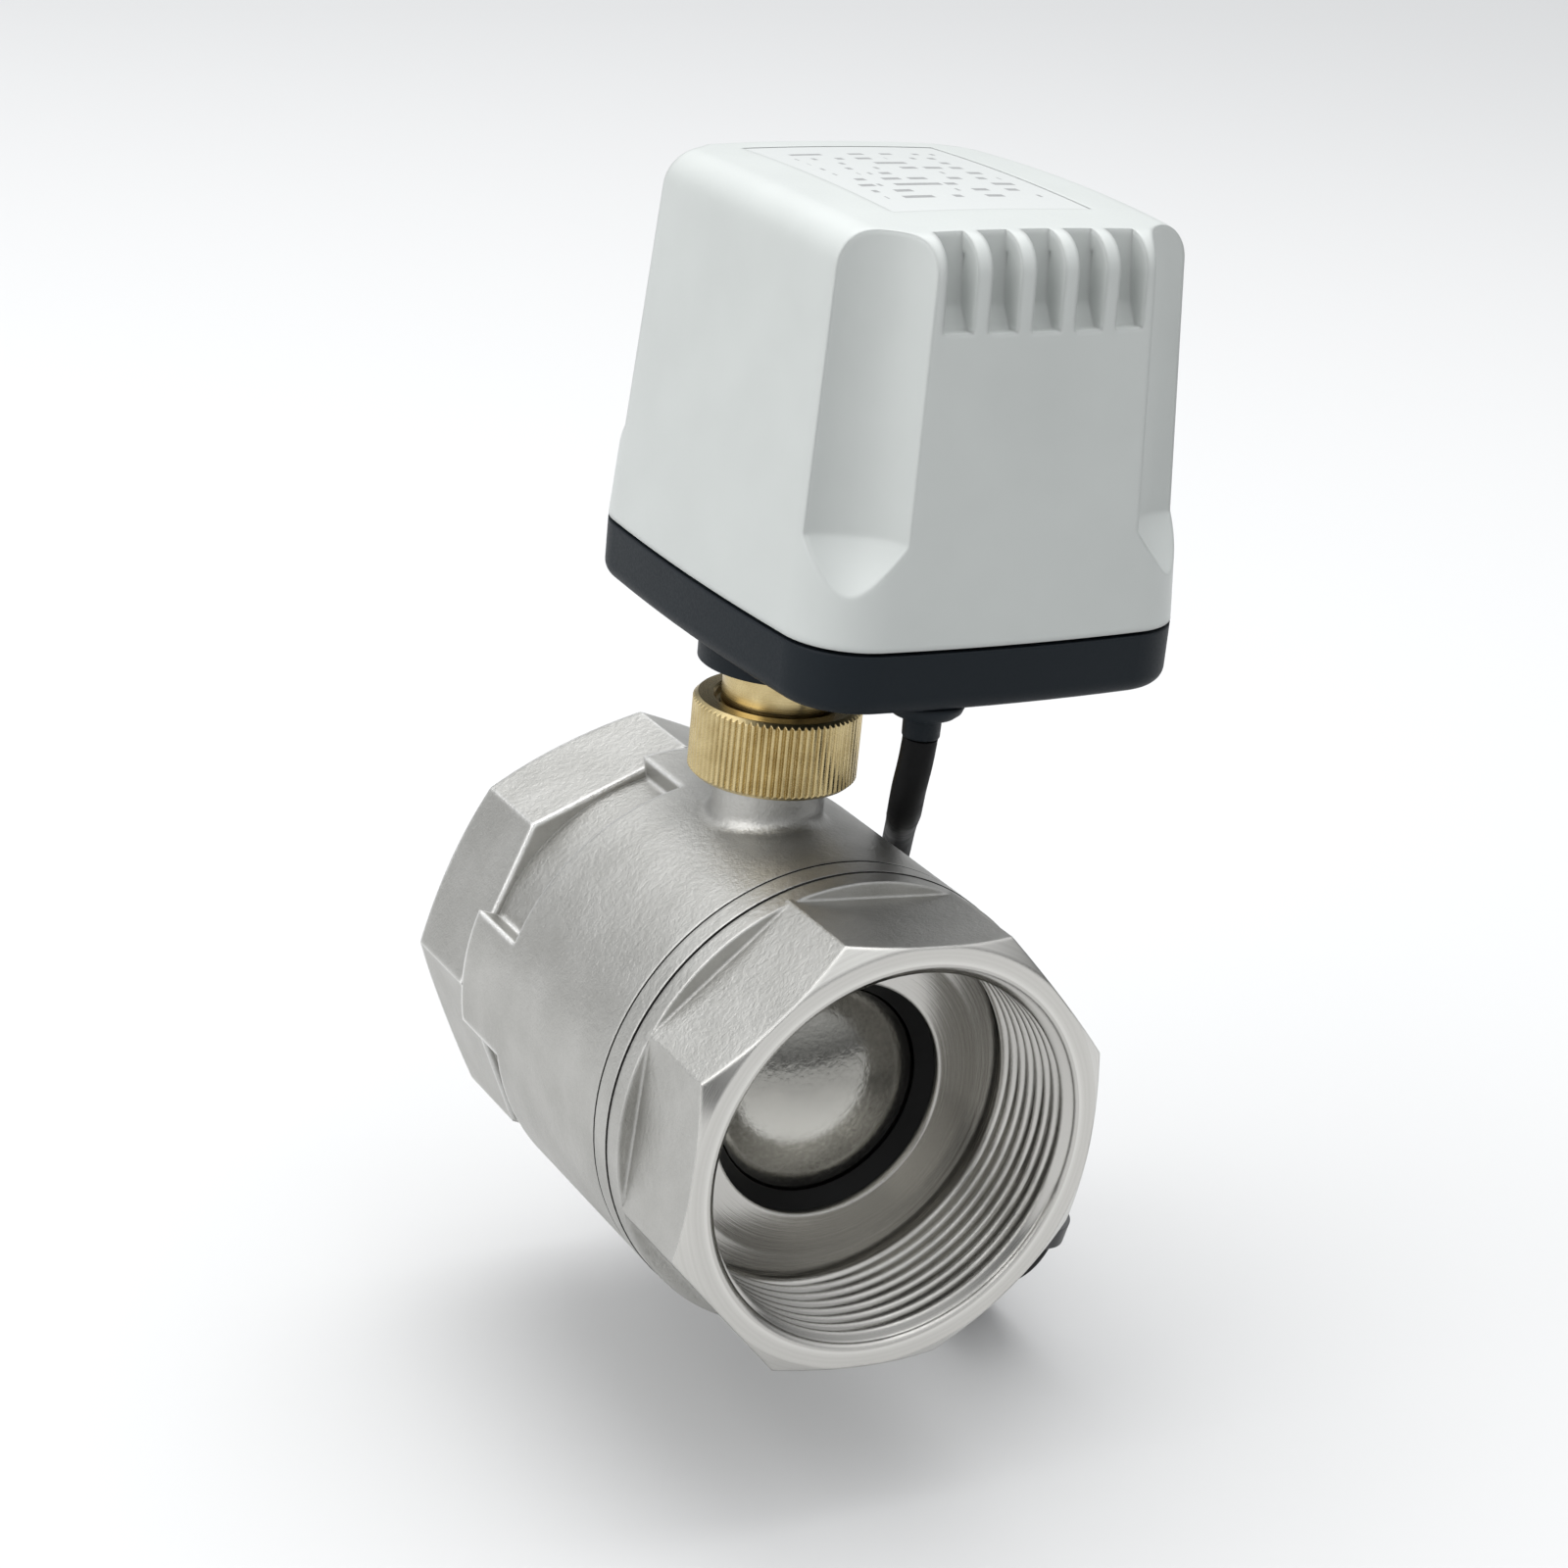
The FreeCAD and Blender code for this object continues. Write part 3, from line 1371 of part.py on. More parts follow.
def make_pillars():
    """Four pillars that carry the lower plate and space the upper one."""
    pin_radius, radius = read("pillar_pin_radius"), read("pillar_radius")
    low, high, thick = read("lower_plate"), read("upper_plate"), read("plate_thickness")
    floor = read("base_bottom") + read("base_floor")
    profile = [
        (0, floor),
        (read("pillar_foot_radius"), floor),
        (read("pillar_foot_radius"), low),
        (pin_radius, low),
        (pin_radius, low + thick),
        (radius, low + thick),
        (radius, high),
        (pin_radius, high),
        (pin_radius, high + thick),
        (pin_radius + 1.2, high + thick),
        (pin_radius + 1.2, high + thick + 1.5),
        (0, high + thick + 1.5),
    ]
    x = read("plate_half_width") - read("pillar_inset")
    y = read("plate_half_length") - read("pillar_inset")
    centre = read("box_place")
    shapes = [turned_pin(profile, (centre + x * sign_x, y * sign_y)) for sign_x, sign_y in corner_signs()]
    return keep_shape("plate_pillars", Part.makeCompound(shapes))


def make_axles():
    """Three fixed axles for the compound gears."""
    low = read("lower_plate")
    high = read("upper_plate") + read("plate_thickness")
    shapes = [
        Part.makeCylinder(read("axle_radius"), high - low, Vector(x, y, low)) for x, y in gear_places()[:3]
    ]
    return keep_shape("gear_axles", Part.makeCompound(shapes))


def make_motor():
    """Round motor on the upper plate, with two screws from below."""
    base = read("upper_plate") + read("plate_thickness")
    top = base + read("motor_height")
    radius = read("motor_radius")
    bore = read("motor_shaft_radius") + 0.05
    profile = [
        (bore, base),
        (radius - 0.8, base),
        (radius - 0.8, base + 0.8),
        (radius, base + 0.8),
        (radius, top - 2.4),
        (radius - 0.5, top - 2.4),
        (radius - 0.5, top - 0.6),
        (radius - 1.1, top),
        (3.0, top),
        (3.0, top + 1.2),
        (0, top + 1.2),
        (0, base + 8),
        (bore, base + 8),
    ]
    centre = gear_places()[3]
    can = turned_pin(profile)
    screw_radius, depth = read("motor_screw_radius"), read("motor_screw_depth")
    under = base - read("plate_thickness")
    screw = [
        (0, under - 1.4),
        (screw_radius + 0.95, under - 1.4),
        (screw_radius + 0.95, under),
        (screw_radius, under),
        (screw_radius, base + depth - 0.2),
        (0, base + depth - 0.2),
    ]
    for x, y in motor_screw_places():
        can = can.cut(Part.makeCylinder(screw_radius, depth, Vector(x - centre[0], y - centre[1], base)))
    screws = [turned_pin(screw, at) for at in motor_screw_places()]
    return [keep_shape("motor", can, centre), keep_shape("motor_screws", Part.makeCompound(screws))]


def make_limit_cam():
    """Two cams on one hub: the lower one acts when closed, the upper one when open."""
    body = new_body("limit_cam")
    hub = new_sketch(body, "XY_Plane", height=S.cam_level - 1)
    draw_circle(hub, 0, 0, S.cam_radius)
    pad(body, hub, S.cam_pitch + S.cam_width + 2)
    for number, middle in ((0, -90.0), (1, 180.0)):
        level = S.cam_level + S.cam_pitch * number
        lobe = new_sketch(body, "XY_Plane", height=level)
        spots = []
        for step in (-1.0, -0.6, -0.2, 0.2, 0.6, 1.0):
            angle = math.radians(middle + read("cam_lobe_span") / 2 * step)
            spots.append((S.cam_lobe_radius * math.cos(angle), S.cam_lobe_radius * math.sin(angle)))
        draw_outline(lobe, [(0, 0), *spots])
        pad(body, lobe, S.cam_width)
    bore = new_sketch(body, "XY_Plane", height=S.cam_level - 2)
    draw_circle(bore, 0, 0, S.shaft_top_radius)
    cut(body, bore, S.cam_pitch + S.cam_width + 6)
    return body


def switch_level(number):
    """Tell how high the middle of a limit switch lies."""
    return read("cam_level") + read("cam_pitch") * number + read("cam_width") / 2


def make_switches():
    """Two limit switches with their plungers and the two posts that carry them."""
    tip = -(read("cam_lobe_radius") + read("cam_gap"))
    face = tip - read("plunger_out")
    width, depth, height = read("switch_width"), read("switch_depth"), read("switch_height")
    size = read("plunger_size")
    pocket = size + 0.1
    inner = read("plunger_travel") + 1.6
    posts_x = width / 2 - 1.9
    post_y = face - depth + 2.0
    items = []
    for number, state in enumerate(("closed", "open")):
        middle = switch_level(number)
        box = Part.makeBox(width, depth, height, Vector(-width / 2, face - depth, middle - height / 2))
        hole = Part.makeBox(
            pocket, inner + 1, pocket, Vector(-pocket / 2, face - inner, middle - pocket / 2)
        )
        box = box.cut(hole)
        for x in (-posts_x, posts_x):
            box = box.cut(Part.makeCylinder(1.1, height + 2, Vector(x, post_y, middle - height / 2 - 1)))
        items.append(keep_shape(f"limit_switch_{state}", box))
        length = read("plunger_out") + inner - read("plunger_travel") - 0.2
        plunger = Part.makeBox(size, length, size, Vector(-size / 2, tip - length, middle - size / 2))
        items.append(keep_shape(f"switch_plunger_{state}", plunger))
    base = read("upper_plate") + read("plate_thickness")
    profile = [(0, base)]
    for number in (0, 1):
        low = switch_level(number) - height / 2
        profile += [(1.9, profile[-1][1]), (1.9, low), (1.1, low), (1.1, low + height)]
    top = profile[-1][1]
    profile += [(1.9, top), (1.9, top + 1.4), (0, top + 1.4)]
    posts = [turned_pin(profile, (x, post_y)) for x in (-posts_x, posts_x)]
    items.append(keep_shape("switch_posts", Part.makeCompound(posts)))
    return items


def board_corner_places():
    """List where the board's standoffs stand."""
    middle_x = read("box_place") + read("board_place_x")
    middle_y = read("board_place_y")
    x = read("board_width") / 2 - read("standoff_inset_x")
    y = read("board_length") / 2 - read("standoff_inset_y")
    return [(middle_x - x, middle_y - y), (middle_x + x, middle_y - y), (middle_x + x, middle_y + y)]


def make_board():
    """Circuit board on standoffs with a capacitor, relay, chip and terminal block."""
    bottom, thick = read("board_bottom"), read("board_thickness")
    top = bottom + thick
    width, length = read("board_width"), read("board_length")
    middle_x = read("box_place") + read("board_place_x")
    middle_y = read("board_place_y")
    low_x, low_y = middle_x - width / 2, middle_y - length / 2
    board = Part.makeBox(width, length, thick, Vector(low_x, low_y, bottom))
    radius, pin_radius = read("standoff_radius"), read("standoff_pin_radius")
    for x, y in board_corner_places():
        board = board.cut(Part.makeCylinder(pin_radius, thick + 2, Vector(x, y, bottom - 1)))
    base = read("upper_plate") + read("plate_thickness")
    profile = [
        (0, base),
        (radius, base),
        (radius, bottom),
        (pin_radius, bottom),
        (pin_radius, top),
        (radius, top),
        (radius, top + 1.2),
        (0, top + 1.2),
    ]
    standoffs = [turned_pin(profile, at) for at in board_corner_places()]
    return [
        keep_shape("circuit_board", board),
        keep_shape("board_standoffs", Part.makeCompound(standoffs)),
        *make_board_parts(low_x, low_y, top),
    ]


def make_board_parts(low_x, low_y, top):
    """Capacitor, relay, chip and terminal block, placed from the board's lower corner."""
    gap = read("part_gap")
    high_x, high_y = low_x + read("board_width"), low_y + read("board_length")
    can_radius, can_length = read("capacitor_radius"), read("capacitor_length")
    can_start = Vector(
        high_x - read("capacitor_inset") - can_length, high_y - gap - can_radius, top + can_radius
    )
    can = Part.makeCylinder(can_radius, can_length, can_start, Vector(1, 0, 0))
    relay_size = [read("relay_width"), read("relay_length"), read("relay_height")]
    relay = Part.makeBox(*relay_size, Vector(low_x + read("relay_inset"), high_y - gap - relay_size[1], top))
    x, y = low_x + read("terminal_inset_x"), low_y + read("terminal_inset_y")
    width, length, height = read("terminal_width"), read("terminal_length"), read("terminal_height")
    terminal = Part.makeBox(width, length, height, Vector(x, y, top))
    depth = read("terminal_hole_depth")
    for number in (-1, 0, 1):
        spot = Vector(x + width / 2 + read("terminal_pitch") * number, y + length / 2, top + height - depth)
        terminal = terminal.cut(Part.makeCylinder(read("terminal_hole_radius"), depth + 1, spot))
    chip_size = [read("chip_width"), read("chip_length"), read("chip_height")]
    chip = Part.makeBox(*chip_size, Vector(x + width + gap, y + gap, top))
    return [
        keep_shape("capacitor", can),
        keep_shape("relay", relay),
        keep_shape("control_chip", chip),
        keep_shape("terminal_block", terminal),
    ]


def make_cable_gland():
    """Domed gland under the base, pressed into its hole."""
    body = new_body("cable_gland")
    place(body, x=S.cable_gland_x, y=S.cable_gland_y)
    bottom = S.cable_gland_bottom
    bore = S.cable_diameter / 2 + 0.1
    radius = S.cable_gland_radius
    outline = [
        (bore, bottom),
        (radius - 2.4, bottom),
        (radius - 0.9, bottom + 0.7),
        (radius, bottom + 2.2),
        (radius, S.base_bottom),
        (S.cable_gland_hole - 0.02, S.base_bottom),
        (S.cable_gland_hole - 0.02, S.base_bottom + S.base_floor + 1.6),
        (bore, S.base_bottom + S.base_floor + 1.6),
    ]
    turn_solid(body, "XZ_Plane", "V_Axis", outline)
    return body


def coil_frame():
    """Give the coil's entry point and a function for the point after some turns."""
    centre = Vector(*COIL_CENTER)
    radius, step = read("coil_radius"), read("coil_step")

    def point(turns):
        angle = math.radians(COIL_START_ANGLE) - 2 * math.pi * turns
        return centre + Vector(step * turns, radius * math.cos(angle), radius * math.sin(angle))

    def direction(turns):
        angle = math.radians(COIL_START_ANGLE) - 2 * math.pi * turns
        way = Vector(step / (2 * math.pi), radius * math.sin(angle), -radius * math.cos(angle))
        return way.normalize()

    return point, direction


def biarc(start, way_start, end, way_end):
    """Join two points by two tangent arcs, as edges."""
    chord = end - start
    total = way_start + way_end
    quadratic = 2 * (1 - way_start.dot(way_end))
    linear = 2 * chord.dot(total)
    length = (-linear + math.sqrt(linear**2 + 4 * quadratic * chord.dot(chord))) / (2 * quadratic)
    first_corner = start + way_start * length
    second_corner = end - way_end * length
    joint = (first_corner + second_corner) / 2
    edges = []
    for low, corner, high in ((start, first_corner, joint), (joint, second_corner, end)):
        middle = (low + high) / 2
        cosine = (high - low).Length / 2 / length
        apex = middle + (corner - middle) * (cosine / (1 + cosine))
        edges.append(Part.Arc(low, apex, high).toShape())
    return edges


def sweep(edges, radius):
    """Sweep a round section along edges and compare its volume with section times length."""
    path = Part.Wire(edges)
    first = edges[0]
    start = first.valueAt(first.FirstParameter)
    way = first.tangentAt(first.FirstParameter)
    section = Part.Wire([Part.makeCircle(radius, start, way)])
    solid = path.makePipeShell([section], True, False)
    wanted = math.pi * radius**2 * path.Length
    print(f"tube length {path.Length:.1f} mm, volume ratio {solid.Volume / wanted:.4f}")
    return solid


def rounded_route(points):
    """Join straight runs by tangent arcs whose size follows the shorter run."""
    spots = [Vector(*point) for point in points]
    edges = []
    here = spots[0]
    for before, corner, after in zip(spots, spots[1:], spots[2:]):
        back, ahead = (before - corner), (after - corner)
        turn = math.pi - back.getAngle(ahead)
        reach = 0.45 * min(back.Length, ahead.Length)
        radius = reach / math.tan(turn / 2)
        print(f"bend radius {radius:.1f} mm, turn {math.degrees(turn):.1f} degrees")
        start = corner + back.normalize() * reach
        end = corner + ahead.normalize() * reach
        middle = (start + end) / 2
        apex = middle + (corner - middle) * (math.cos(turn / 2) / (1 + math.cos(turn / 2)))
        edges.append(Part.makeLine(here, start))
        edges.append(Part.Arc(start, apex, end).toShape())
        here = end
    edges.append(Part.makeLine(here, spots[-1]))
    return edges


def make_cable():
    """Free cable from the gland to the coil, and the straight piece inside the gland."""
    radius = read("cable_diameter") / 2
    point, direction = coil_frame()
    start = point(0) - direction(0) * COIL_LEAD
    knee = start - direction(0) * CABLE_LAST_RUN
    route = CABLE_POINTS + [tuple(knee), tuple(start)]
    x, y, z = CABLE_POINTS[0]
    bottom = z + read("cable_entry_gap")
    top = read("base_bottom") + read("base_floor") + 3
    entry = Part.makeCylinder(radius, top - bottom, Vector(x, y, bottom))
    return [
        keep_shape("cable", sweep(rounded_route(route), radius)),
        keep_shape("cable_entry", entry),
    ]


def make_coil():
    """Spare cable wound in a loose coil behind the valve, with its tie and bare cores."""
    radius = read("cable_diameter") / 2
    turns = int(read("coil_turns"))
    point, direction = coil_frame()
    quarters = [number / 4 for number in range(4 * turns + 1)]
    edges = [Part.makeLine(point(0) - direction(0) * COIL_LEAD, point(0))]
    for low, high in zip(quarters, quarters[1:]):
        edges += biarc(point(low), direction(low), point(high), direction(high))
    end = point(turns) + direction(turns) * COIL_TAIL
    edges.append(Part.makeLine(point(turns), end))
    report_least_gap(point, turns, 2 * radius)
    coil = keep_shape("cable_coil", sweep(edges, radius))
    return [coil, make_tie(point, direction), *make_cores(end, direction(turns))]


def report_least_gap(point, turns, diameter):
    """Print the least gap between the coil's neighbouring loops."""
    steps = 360
    spots = [point(turns * number / steps) for number in range(steps + 1)]
    apart = steps // (2 * turns)
    gaps = [
        (first - second).Length
        for number, first in enumerate(spots)
        for second in spots[number + apart :]
    ]
    print(f"least gap of the coil to itself {min(gaps) - diameter:.2f} mm")


def make_tie(point, direction):
    """Flat tie round the coil's two turns."""
    first, second = point(0.5), point(1.5)
    middle = (first + second) / 2
    gap = 0.15
    radius = read("cable_diameter") / 2 + gap
    wall, width = read("tie_wall"), read("tie_width")
    side = second - first
    along = (direction(0.5) - side * (direction(0.5).dot(side) / side.dot(side))).normalize()

    def slot(size, length):
        back = along * (length / 2)
        low = middle - back
        ends = [Part.makeCylinder(size, length, spot - back, along) for spot in (first, second)]
        across = along.cross(side).normalize()
        corner_a = low + side / 2 + across * size
        corner_b = low - side / 2 + across * size
        corner_c = low - side / 2 - across * size
        corner_d = low + side / 2 - across * size
        face = Part.Face(Part.makePolygon([corner_a, corner_b, corner_c, corner_d, corner_a]))
        return face.extrude(along * length).fuse(ends).removeSplitter()

    band = slot(radius + wall, width).cut(slot(radius, width + 2))
    return keep_shape("coil_tie", band)


def make_cores(end, way):
    """Three insulated cores from the end of the jacket, with bare tips."""
    radius = read("core_diameter") / 2
    length, bare = read("core_length"), read("core_bare")
    side = way.cross(Vector(1, 0, 0)).normalize()
    other = way.cross(side)
    cores = []
    tips = []
    for number in range(3):
        angle = 2 * math.pi * number / 3
        offset = side * math.cos(angle) + other * math.sin(angle)
        lean = (way + offset * 0.12).normalize()
        start = end + offset * (radius + 0.5) + way * read("core_gap")
        cores.append(Part.makeCylinder(radius, length, start, lean))
        tips.append(Part.makeCylinder(radius * 0.6, bare, start + lean * length, lean))
    return [
        keep_shape("core_wires", Part.makeCompound(cores)),
        keep_shape("core_tips", Part.makeCompound(tips)),
    ]


def build():
    """Build every sub-part."""
    parts = [*make_casting(), make_end_cap(), make_body_gasket(), make_ball()]
    parts += [make_seat("seat_front", 0), make_seat("seat_rear", 180), make_stem()]
    parts += make_stem_seals()
    parts += [make_union_nut(), make_slip_ring(), make_collar(), make_output_shaft()]
    parts += [make_base(), make_cover(), make_cover_gasket(), make_cover_screws(), make_label_panel()]
    parts += [make_output_gear(), *make_gears(), *make_plates(), *make_motor()]
    parts += [make_limit_cam(), *make_switches(), *make_board()]
    parts += [make_cable_gland(), *make_cable(), *make_coil()]
    doc.recompute()
    return parts


def check(parts):
    """Stop if any feature failed or any sub-part has no sound shape."""
    for item in doc.Objects:
        if "Invalid" in item.State or "Error" in item.State:
            raise RuntimeError(f"{item.Label} failed: {item.State}")
    for part in parts:
        if part.Shape.isNull() or not part.Shape.isValid() or not part.Shape.Solids:
            raise RuntimeError(f"{part.Label} has no sound shape")


def export(parts):
    """Write each sub-part to its own file."""
    os.makedirs("parts", exist_ok=True)
    for part in parts:
        part.Shape.exportStep(f"parts/{part.Label}.step")
        print(f"{part.Label}: {part.Shape.Volume:.0f} cubic mm")


fill_sheet()
all_parts = build()
check(all_parts)
export(all_parts)
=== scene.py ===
"""Looks of a motorised ball valve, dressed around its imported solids.

The solids are loaded as a fixed frame. The supply cord is laid as a curve and
the cable gland is spun, every solid gets its own finish, and a plain studio is
set up round the part.
"""

import logging
import math
from dataclasses import dataclass
from enum import Enum

import bmesh
import bpy
from mathutils import Matrix, Vector

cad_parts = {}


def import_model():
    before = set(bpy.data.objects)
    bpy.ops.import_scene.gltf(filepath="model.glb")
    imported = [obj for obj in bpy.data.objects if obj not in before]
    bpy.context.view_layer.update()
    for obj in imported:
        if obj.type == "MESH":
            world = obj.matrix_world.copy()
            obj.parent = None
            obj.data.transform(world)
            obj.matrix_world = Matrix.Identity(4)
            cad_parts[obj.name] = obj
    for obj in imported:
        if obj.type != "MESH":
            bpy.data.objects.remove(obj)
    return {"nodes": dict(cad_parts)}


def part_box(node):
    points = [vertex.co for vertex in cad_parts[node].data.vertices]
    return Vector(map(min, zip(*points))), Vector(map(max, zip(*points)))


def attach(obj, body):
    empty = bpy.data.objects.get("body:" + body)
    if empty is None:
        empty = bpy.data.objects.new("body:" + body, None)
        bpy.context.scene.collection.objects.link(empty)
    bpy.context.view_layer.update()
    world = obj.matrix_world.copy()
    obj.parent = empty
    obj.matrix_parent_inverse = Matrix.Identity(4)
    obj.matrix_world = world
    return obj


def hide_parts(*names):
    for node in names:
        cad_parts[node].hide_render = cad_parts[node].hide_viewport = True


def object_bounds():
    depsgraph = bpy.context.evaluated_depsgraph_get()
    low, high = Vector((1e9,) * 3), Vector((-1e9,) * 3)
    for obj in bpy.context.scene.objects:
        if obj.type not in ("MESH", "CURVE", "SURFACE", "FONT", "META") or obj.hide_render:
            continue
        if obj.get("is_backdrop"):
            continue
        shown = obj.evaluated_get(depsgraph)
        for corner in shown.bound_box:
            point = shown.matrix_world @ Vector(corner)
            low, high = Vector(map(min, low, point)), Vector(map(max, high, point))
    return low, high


MM = 0.001

Colour = tuple[float, float, float]
Point = tuple[float, float, float]
Span = tuple[float, float]
Socket = bpy.types.NodeSocket

log = logging.getLogger("valve")


class Slot(Enum):
    """The finishes that the pieces can have, under their names in the record."""

    CAST_STEEL = "cast_steel"
    POLISHED_STEEL = "polished_steel"
    MACHINED_STEEL = "machined_steel"
    PLATE_STEEL = "plate_steel"
    BRASS = "brass"
    COPPER = "copper"
    SEAT_POLYMER = "seat_polymer"
    SEAL_WHITE = "seal_white"
    SEAL_RUBBER = "seal_rubber"
    BASE_PLASTIC = "base_plastic"
    COVER_PLASTIC = "cover_plastic"
    LABEL = "label"
    NYLON = "nylon"
    SWITCH_PLASTIC = "switch_plastic"
    PLUNGER_PLASTIC = "plunger_plastic"
    BOARD = "board"
    DARK_PART = "dark_part"
    RELAY_PLASTIC = "relay_plastic"
    TERMINAL_PLASTIC = "terminal_plastic"
    CABLE_JACKET = "cable_jacket"
    CORE_PLASTIC = "core_plastic"
    TIE_PLASTIC = "tie_plastic"


def scaled(colour: Colour, factor: float, lift: float = 0.0) -> Colour:
    """Make a colour lighter or darker.

    Args:
        colour: The colour to start from.
        factor: What each part is multiplied by.
        lift: What each part gains after that.

    Returns:
        The new colour, with no part above 1.
    """
    return tuple(min(1.0, factor * part + lift) for part in colour)


class Recipe:
    """Writes the node tree of one material, a node at a time."""

    EDGE_SAMPLES: int = 6
    EDGE_LIMITS: Span = (0.995, 0.85)
    STREAK_DETAIL: float = 2.0

    def __init__(self, name: str) -> None:
        """Start an empty material.

        Args:
            name: The material's name.
        """
        self.material = bpy.data.materials.new(name)
        self.material.use_nodes = True
        self.tree = self.material.node_tree
        self.tree.nodes.clear()
        self.place = self.node("ShaderNodeTexCoord").outputs["Object"]

    def node(self, kind: str, **settings: object) -> bpy.types.Node:
        """Add a node.

        Args:
            kind: The node's type name.
            settings: Properties to set on the node.

        Returns:
            The new node.
        """
        made = self.tree.nodes.new(kind)
        for key, value in settings.items():
            setattr(made, key, value)
        return made

    def feed(self, target: Socket, value: object) -> None:
        """Link a socket to an input, or write a plain value there.

        Args:
            target: The input socket.
            value: A socket, a number or a colour.
        """
        if isinstance(value, bpy.types.NodeSocket):
            self.tree.links.new(value, target)
        elif isinstance(value, tuple) and len(target.default_value) == 4:
            target.default_value = (*value, 1.0)
        else:
            target.default_value = value

    def math(self, operation: str, first: object, second: object = 0.0) -> Socket:
        """Work out one number from two.

        Args:
            operation: The math node's operation.
            first: The first number or socket.
            second: The second number or socket.

        Returns:
            The result's socket.
        """
        made = self.node("ShaderNodeMath", operation=operation)
        self.feed(made.inputs[0], first)
        self.feed(made.inputs[1], second)
        return made.outputs[0]

    def times(self, first: object, second: object) -> Socket:
        """Multiply two numbers or sockets."""
        return self.math("MULTIPLY", first, second)

    def below(self, value: object, limit: object) -> Socket:
        """Share that is 1 where a value is under a limit, and else 0."""
        return self.math("LESS_THAN", value, limit)

    def above(self, value: object, limit: object) -> Socket:
        """Share that is 1 where a value is over a limit, and else 0."""
        return self.math("GREATER_THAN", value, limit)

    def size(self, value: object) -> Socket:
        """Value without its sign."""
        return self.math("ABSOLUTE", value)

    def blend(self, share: object, first: object, second: object) -> Socket:
        """Mix two colours.

        Args:
            share: How much of the second there is.
            first: The colour at share 0.
            second: The colour at share 1.

        Returns:
            The mixed colour's socket.
        """
        made = self.node("ShaderNodeMix", data_type="RGBA")
        self.feed(made.inputs["Factor"], share)
        self.feed(made.inputs[6], first)
        self.feed(made.inputs[7], second)
        return made.outputs[2]

    def between(self, share: object, low: object, high: object) -> Socket:
        """Mix two numbers.

        Args:
            share: How much of the second there is.
            low: The number at share 0.
            high: The number at share 1.

        Returns:
            The mixed number's socket.
        """
        made = self.node("ShaderNodeMix", data_type="FLOAT")
        self.feed(made.inputs[0], share)
        self.feed(made.inputs[2], low)
        self.feed(made.inputs[3], high)
        return made.outputs[0]

    def noise(self, grain: float, detail: float = 3.0) -> Socket:
        """Add soft noise in three dimensions, read at the piece's own place.

        Args:
            grain: The size of its grains in metres.
            detail: How many finer layers it has.

        Returns:
            The noise's value, about 0.5.
        """
        made = self.node("ShaderNodeTexNoise")
        self.feed(made.inputs["Vector"], self.place)
        made.inputs["Scale"].default_value = 1 / grain
        made.inputs["Detail"].default_value = detail
        return made.outputs["Fac"]

    def streaks(self, along: object, grain: float) -> Socket:
        """Add noise that changes with one number only, for tool marks.

        Args:
            along: The number it changes with, in metres.
            grain: The width of a mark in metres.

        Returns:
            The noise's value, about 0.5.
        """
        made = self.node("ShaderNodeTexNoise", noise_dimensions="1D")
        self.feed(made.inputs["W"], along)
        made.inputs["Scale"].default_value = 1 / grain
        made.inputs["Detail"].default_value = self.STREAK_DETAIL
        return made.outputs["Fac"]

    def spread(self, value: object, low: float = 0.3, high: float = 0.7) -> Socket:
        """Stretch the part of a value between two limits to 0 and 1.

        Args:
            value: The value's socket.
            low: What becomes 0.
            high: What becomes 1.

        Returns:
            The stretched value.
        """
        made = self.node("ShaderNodeMapRange")
        self.feed(made.inputs["Value"], value)
        made.inputs["From Min"].default_value = low
        made.inputs["From Max"].default_value = high
        return made.outputs["Result"]

    def axes(self) -> tuple[Socket, Socket, Socket]:
        """Split the piece's own place into its three coordinates.

        Returns:
            The x, y and z sockets.
        """
        split = self.node("ShaderNodeSeparateXYZ")
        self.feed(split.inputs[0], self.place)
        return split.outputs[0], split.outputs[1], split.outputs[2]

    def reach(self, one: Socket, other: Socket) -> Socket:
        """Distance from an axis, from the two coordinates across it.

        Args:
            one: The first coordinate.
            other: The second coordinate.

        Returns:
            The distance's socket.
        """
        squares = self.math("ADD", self.times(one, one), self.times(other, other))
        return self.math("SQRT", squares)

    def soft_edge(self, radius: object) -> Socket:
        """Normal that rounds sharp edges over a radius.

        Args:
            radius: The radius in metres, or its socket.

        Returns:
            The rounded normal.
        """
        made = self.node("ShaderNodeBevel", samples=self.EDGE_SAMPLES)
        self.feed(made.inputs["Radius"], radius)
        return made.outputs[0]

    def edge_share(self, rounded: Socket) -> Socket:
        """Share that is 0 on open faces and grows at an edge.

        Args:
            rounded: The rounded normal of soft_edge.

        Returns:
            The share's socket.
        """
        flat = self.node("ShaderNodeNewGeometry").outputs["Normal"]
        product = self.node("ShaderNodeVectorMath", operation="DOT_PRODUCT")
        self.feed(product.inputs[0], rounded)
        self.feed(product.inputs[1], flat)
        return self.spread(product.outputs["Value"], *self.EDGE_LIMITS)

    def bump(self, height: Socket, depth: float, normal: Socket) -> Socket:
        """Shift a normal by a height.

        Args:
            height: The height, from 0 to 1.
            depth: What height 1 stands for, in metres.
            normal: The normal to start from.

        Returns:
            The shifted normal.
        """
        made = self.node("ShaderNodeBump")
        made.inputs["Strength"].default_value = 1.0
        made.inputs["Distance"].default_value = depth
        self.feed(made.inputs["Height"], height)
        self.feed(made.inputs["Normal"], normal)
        return made.outputs[0]

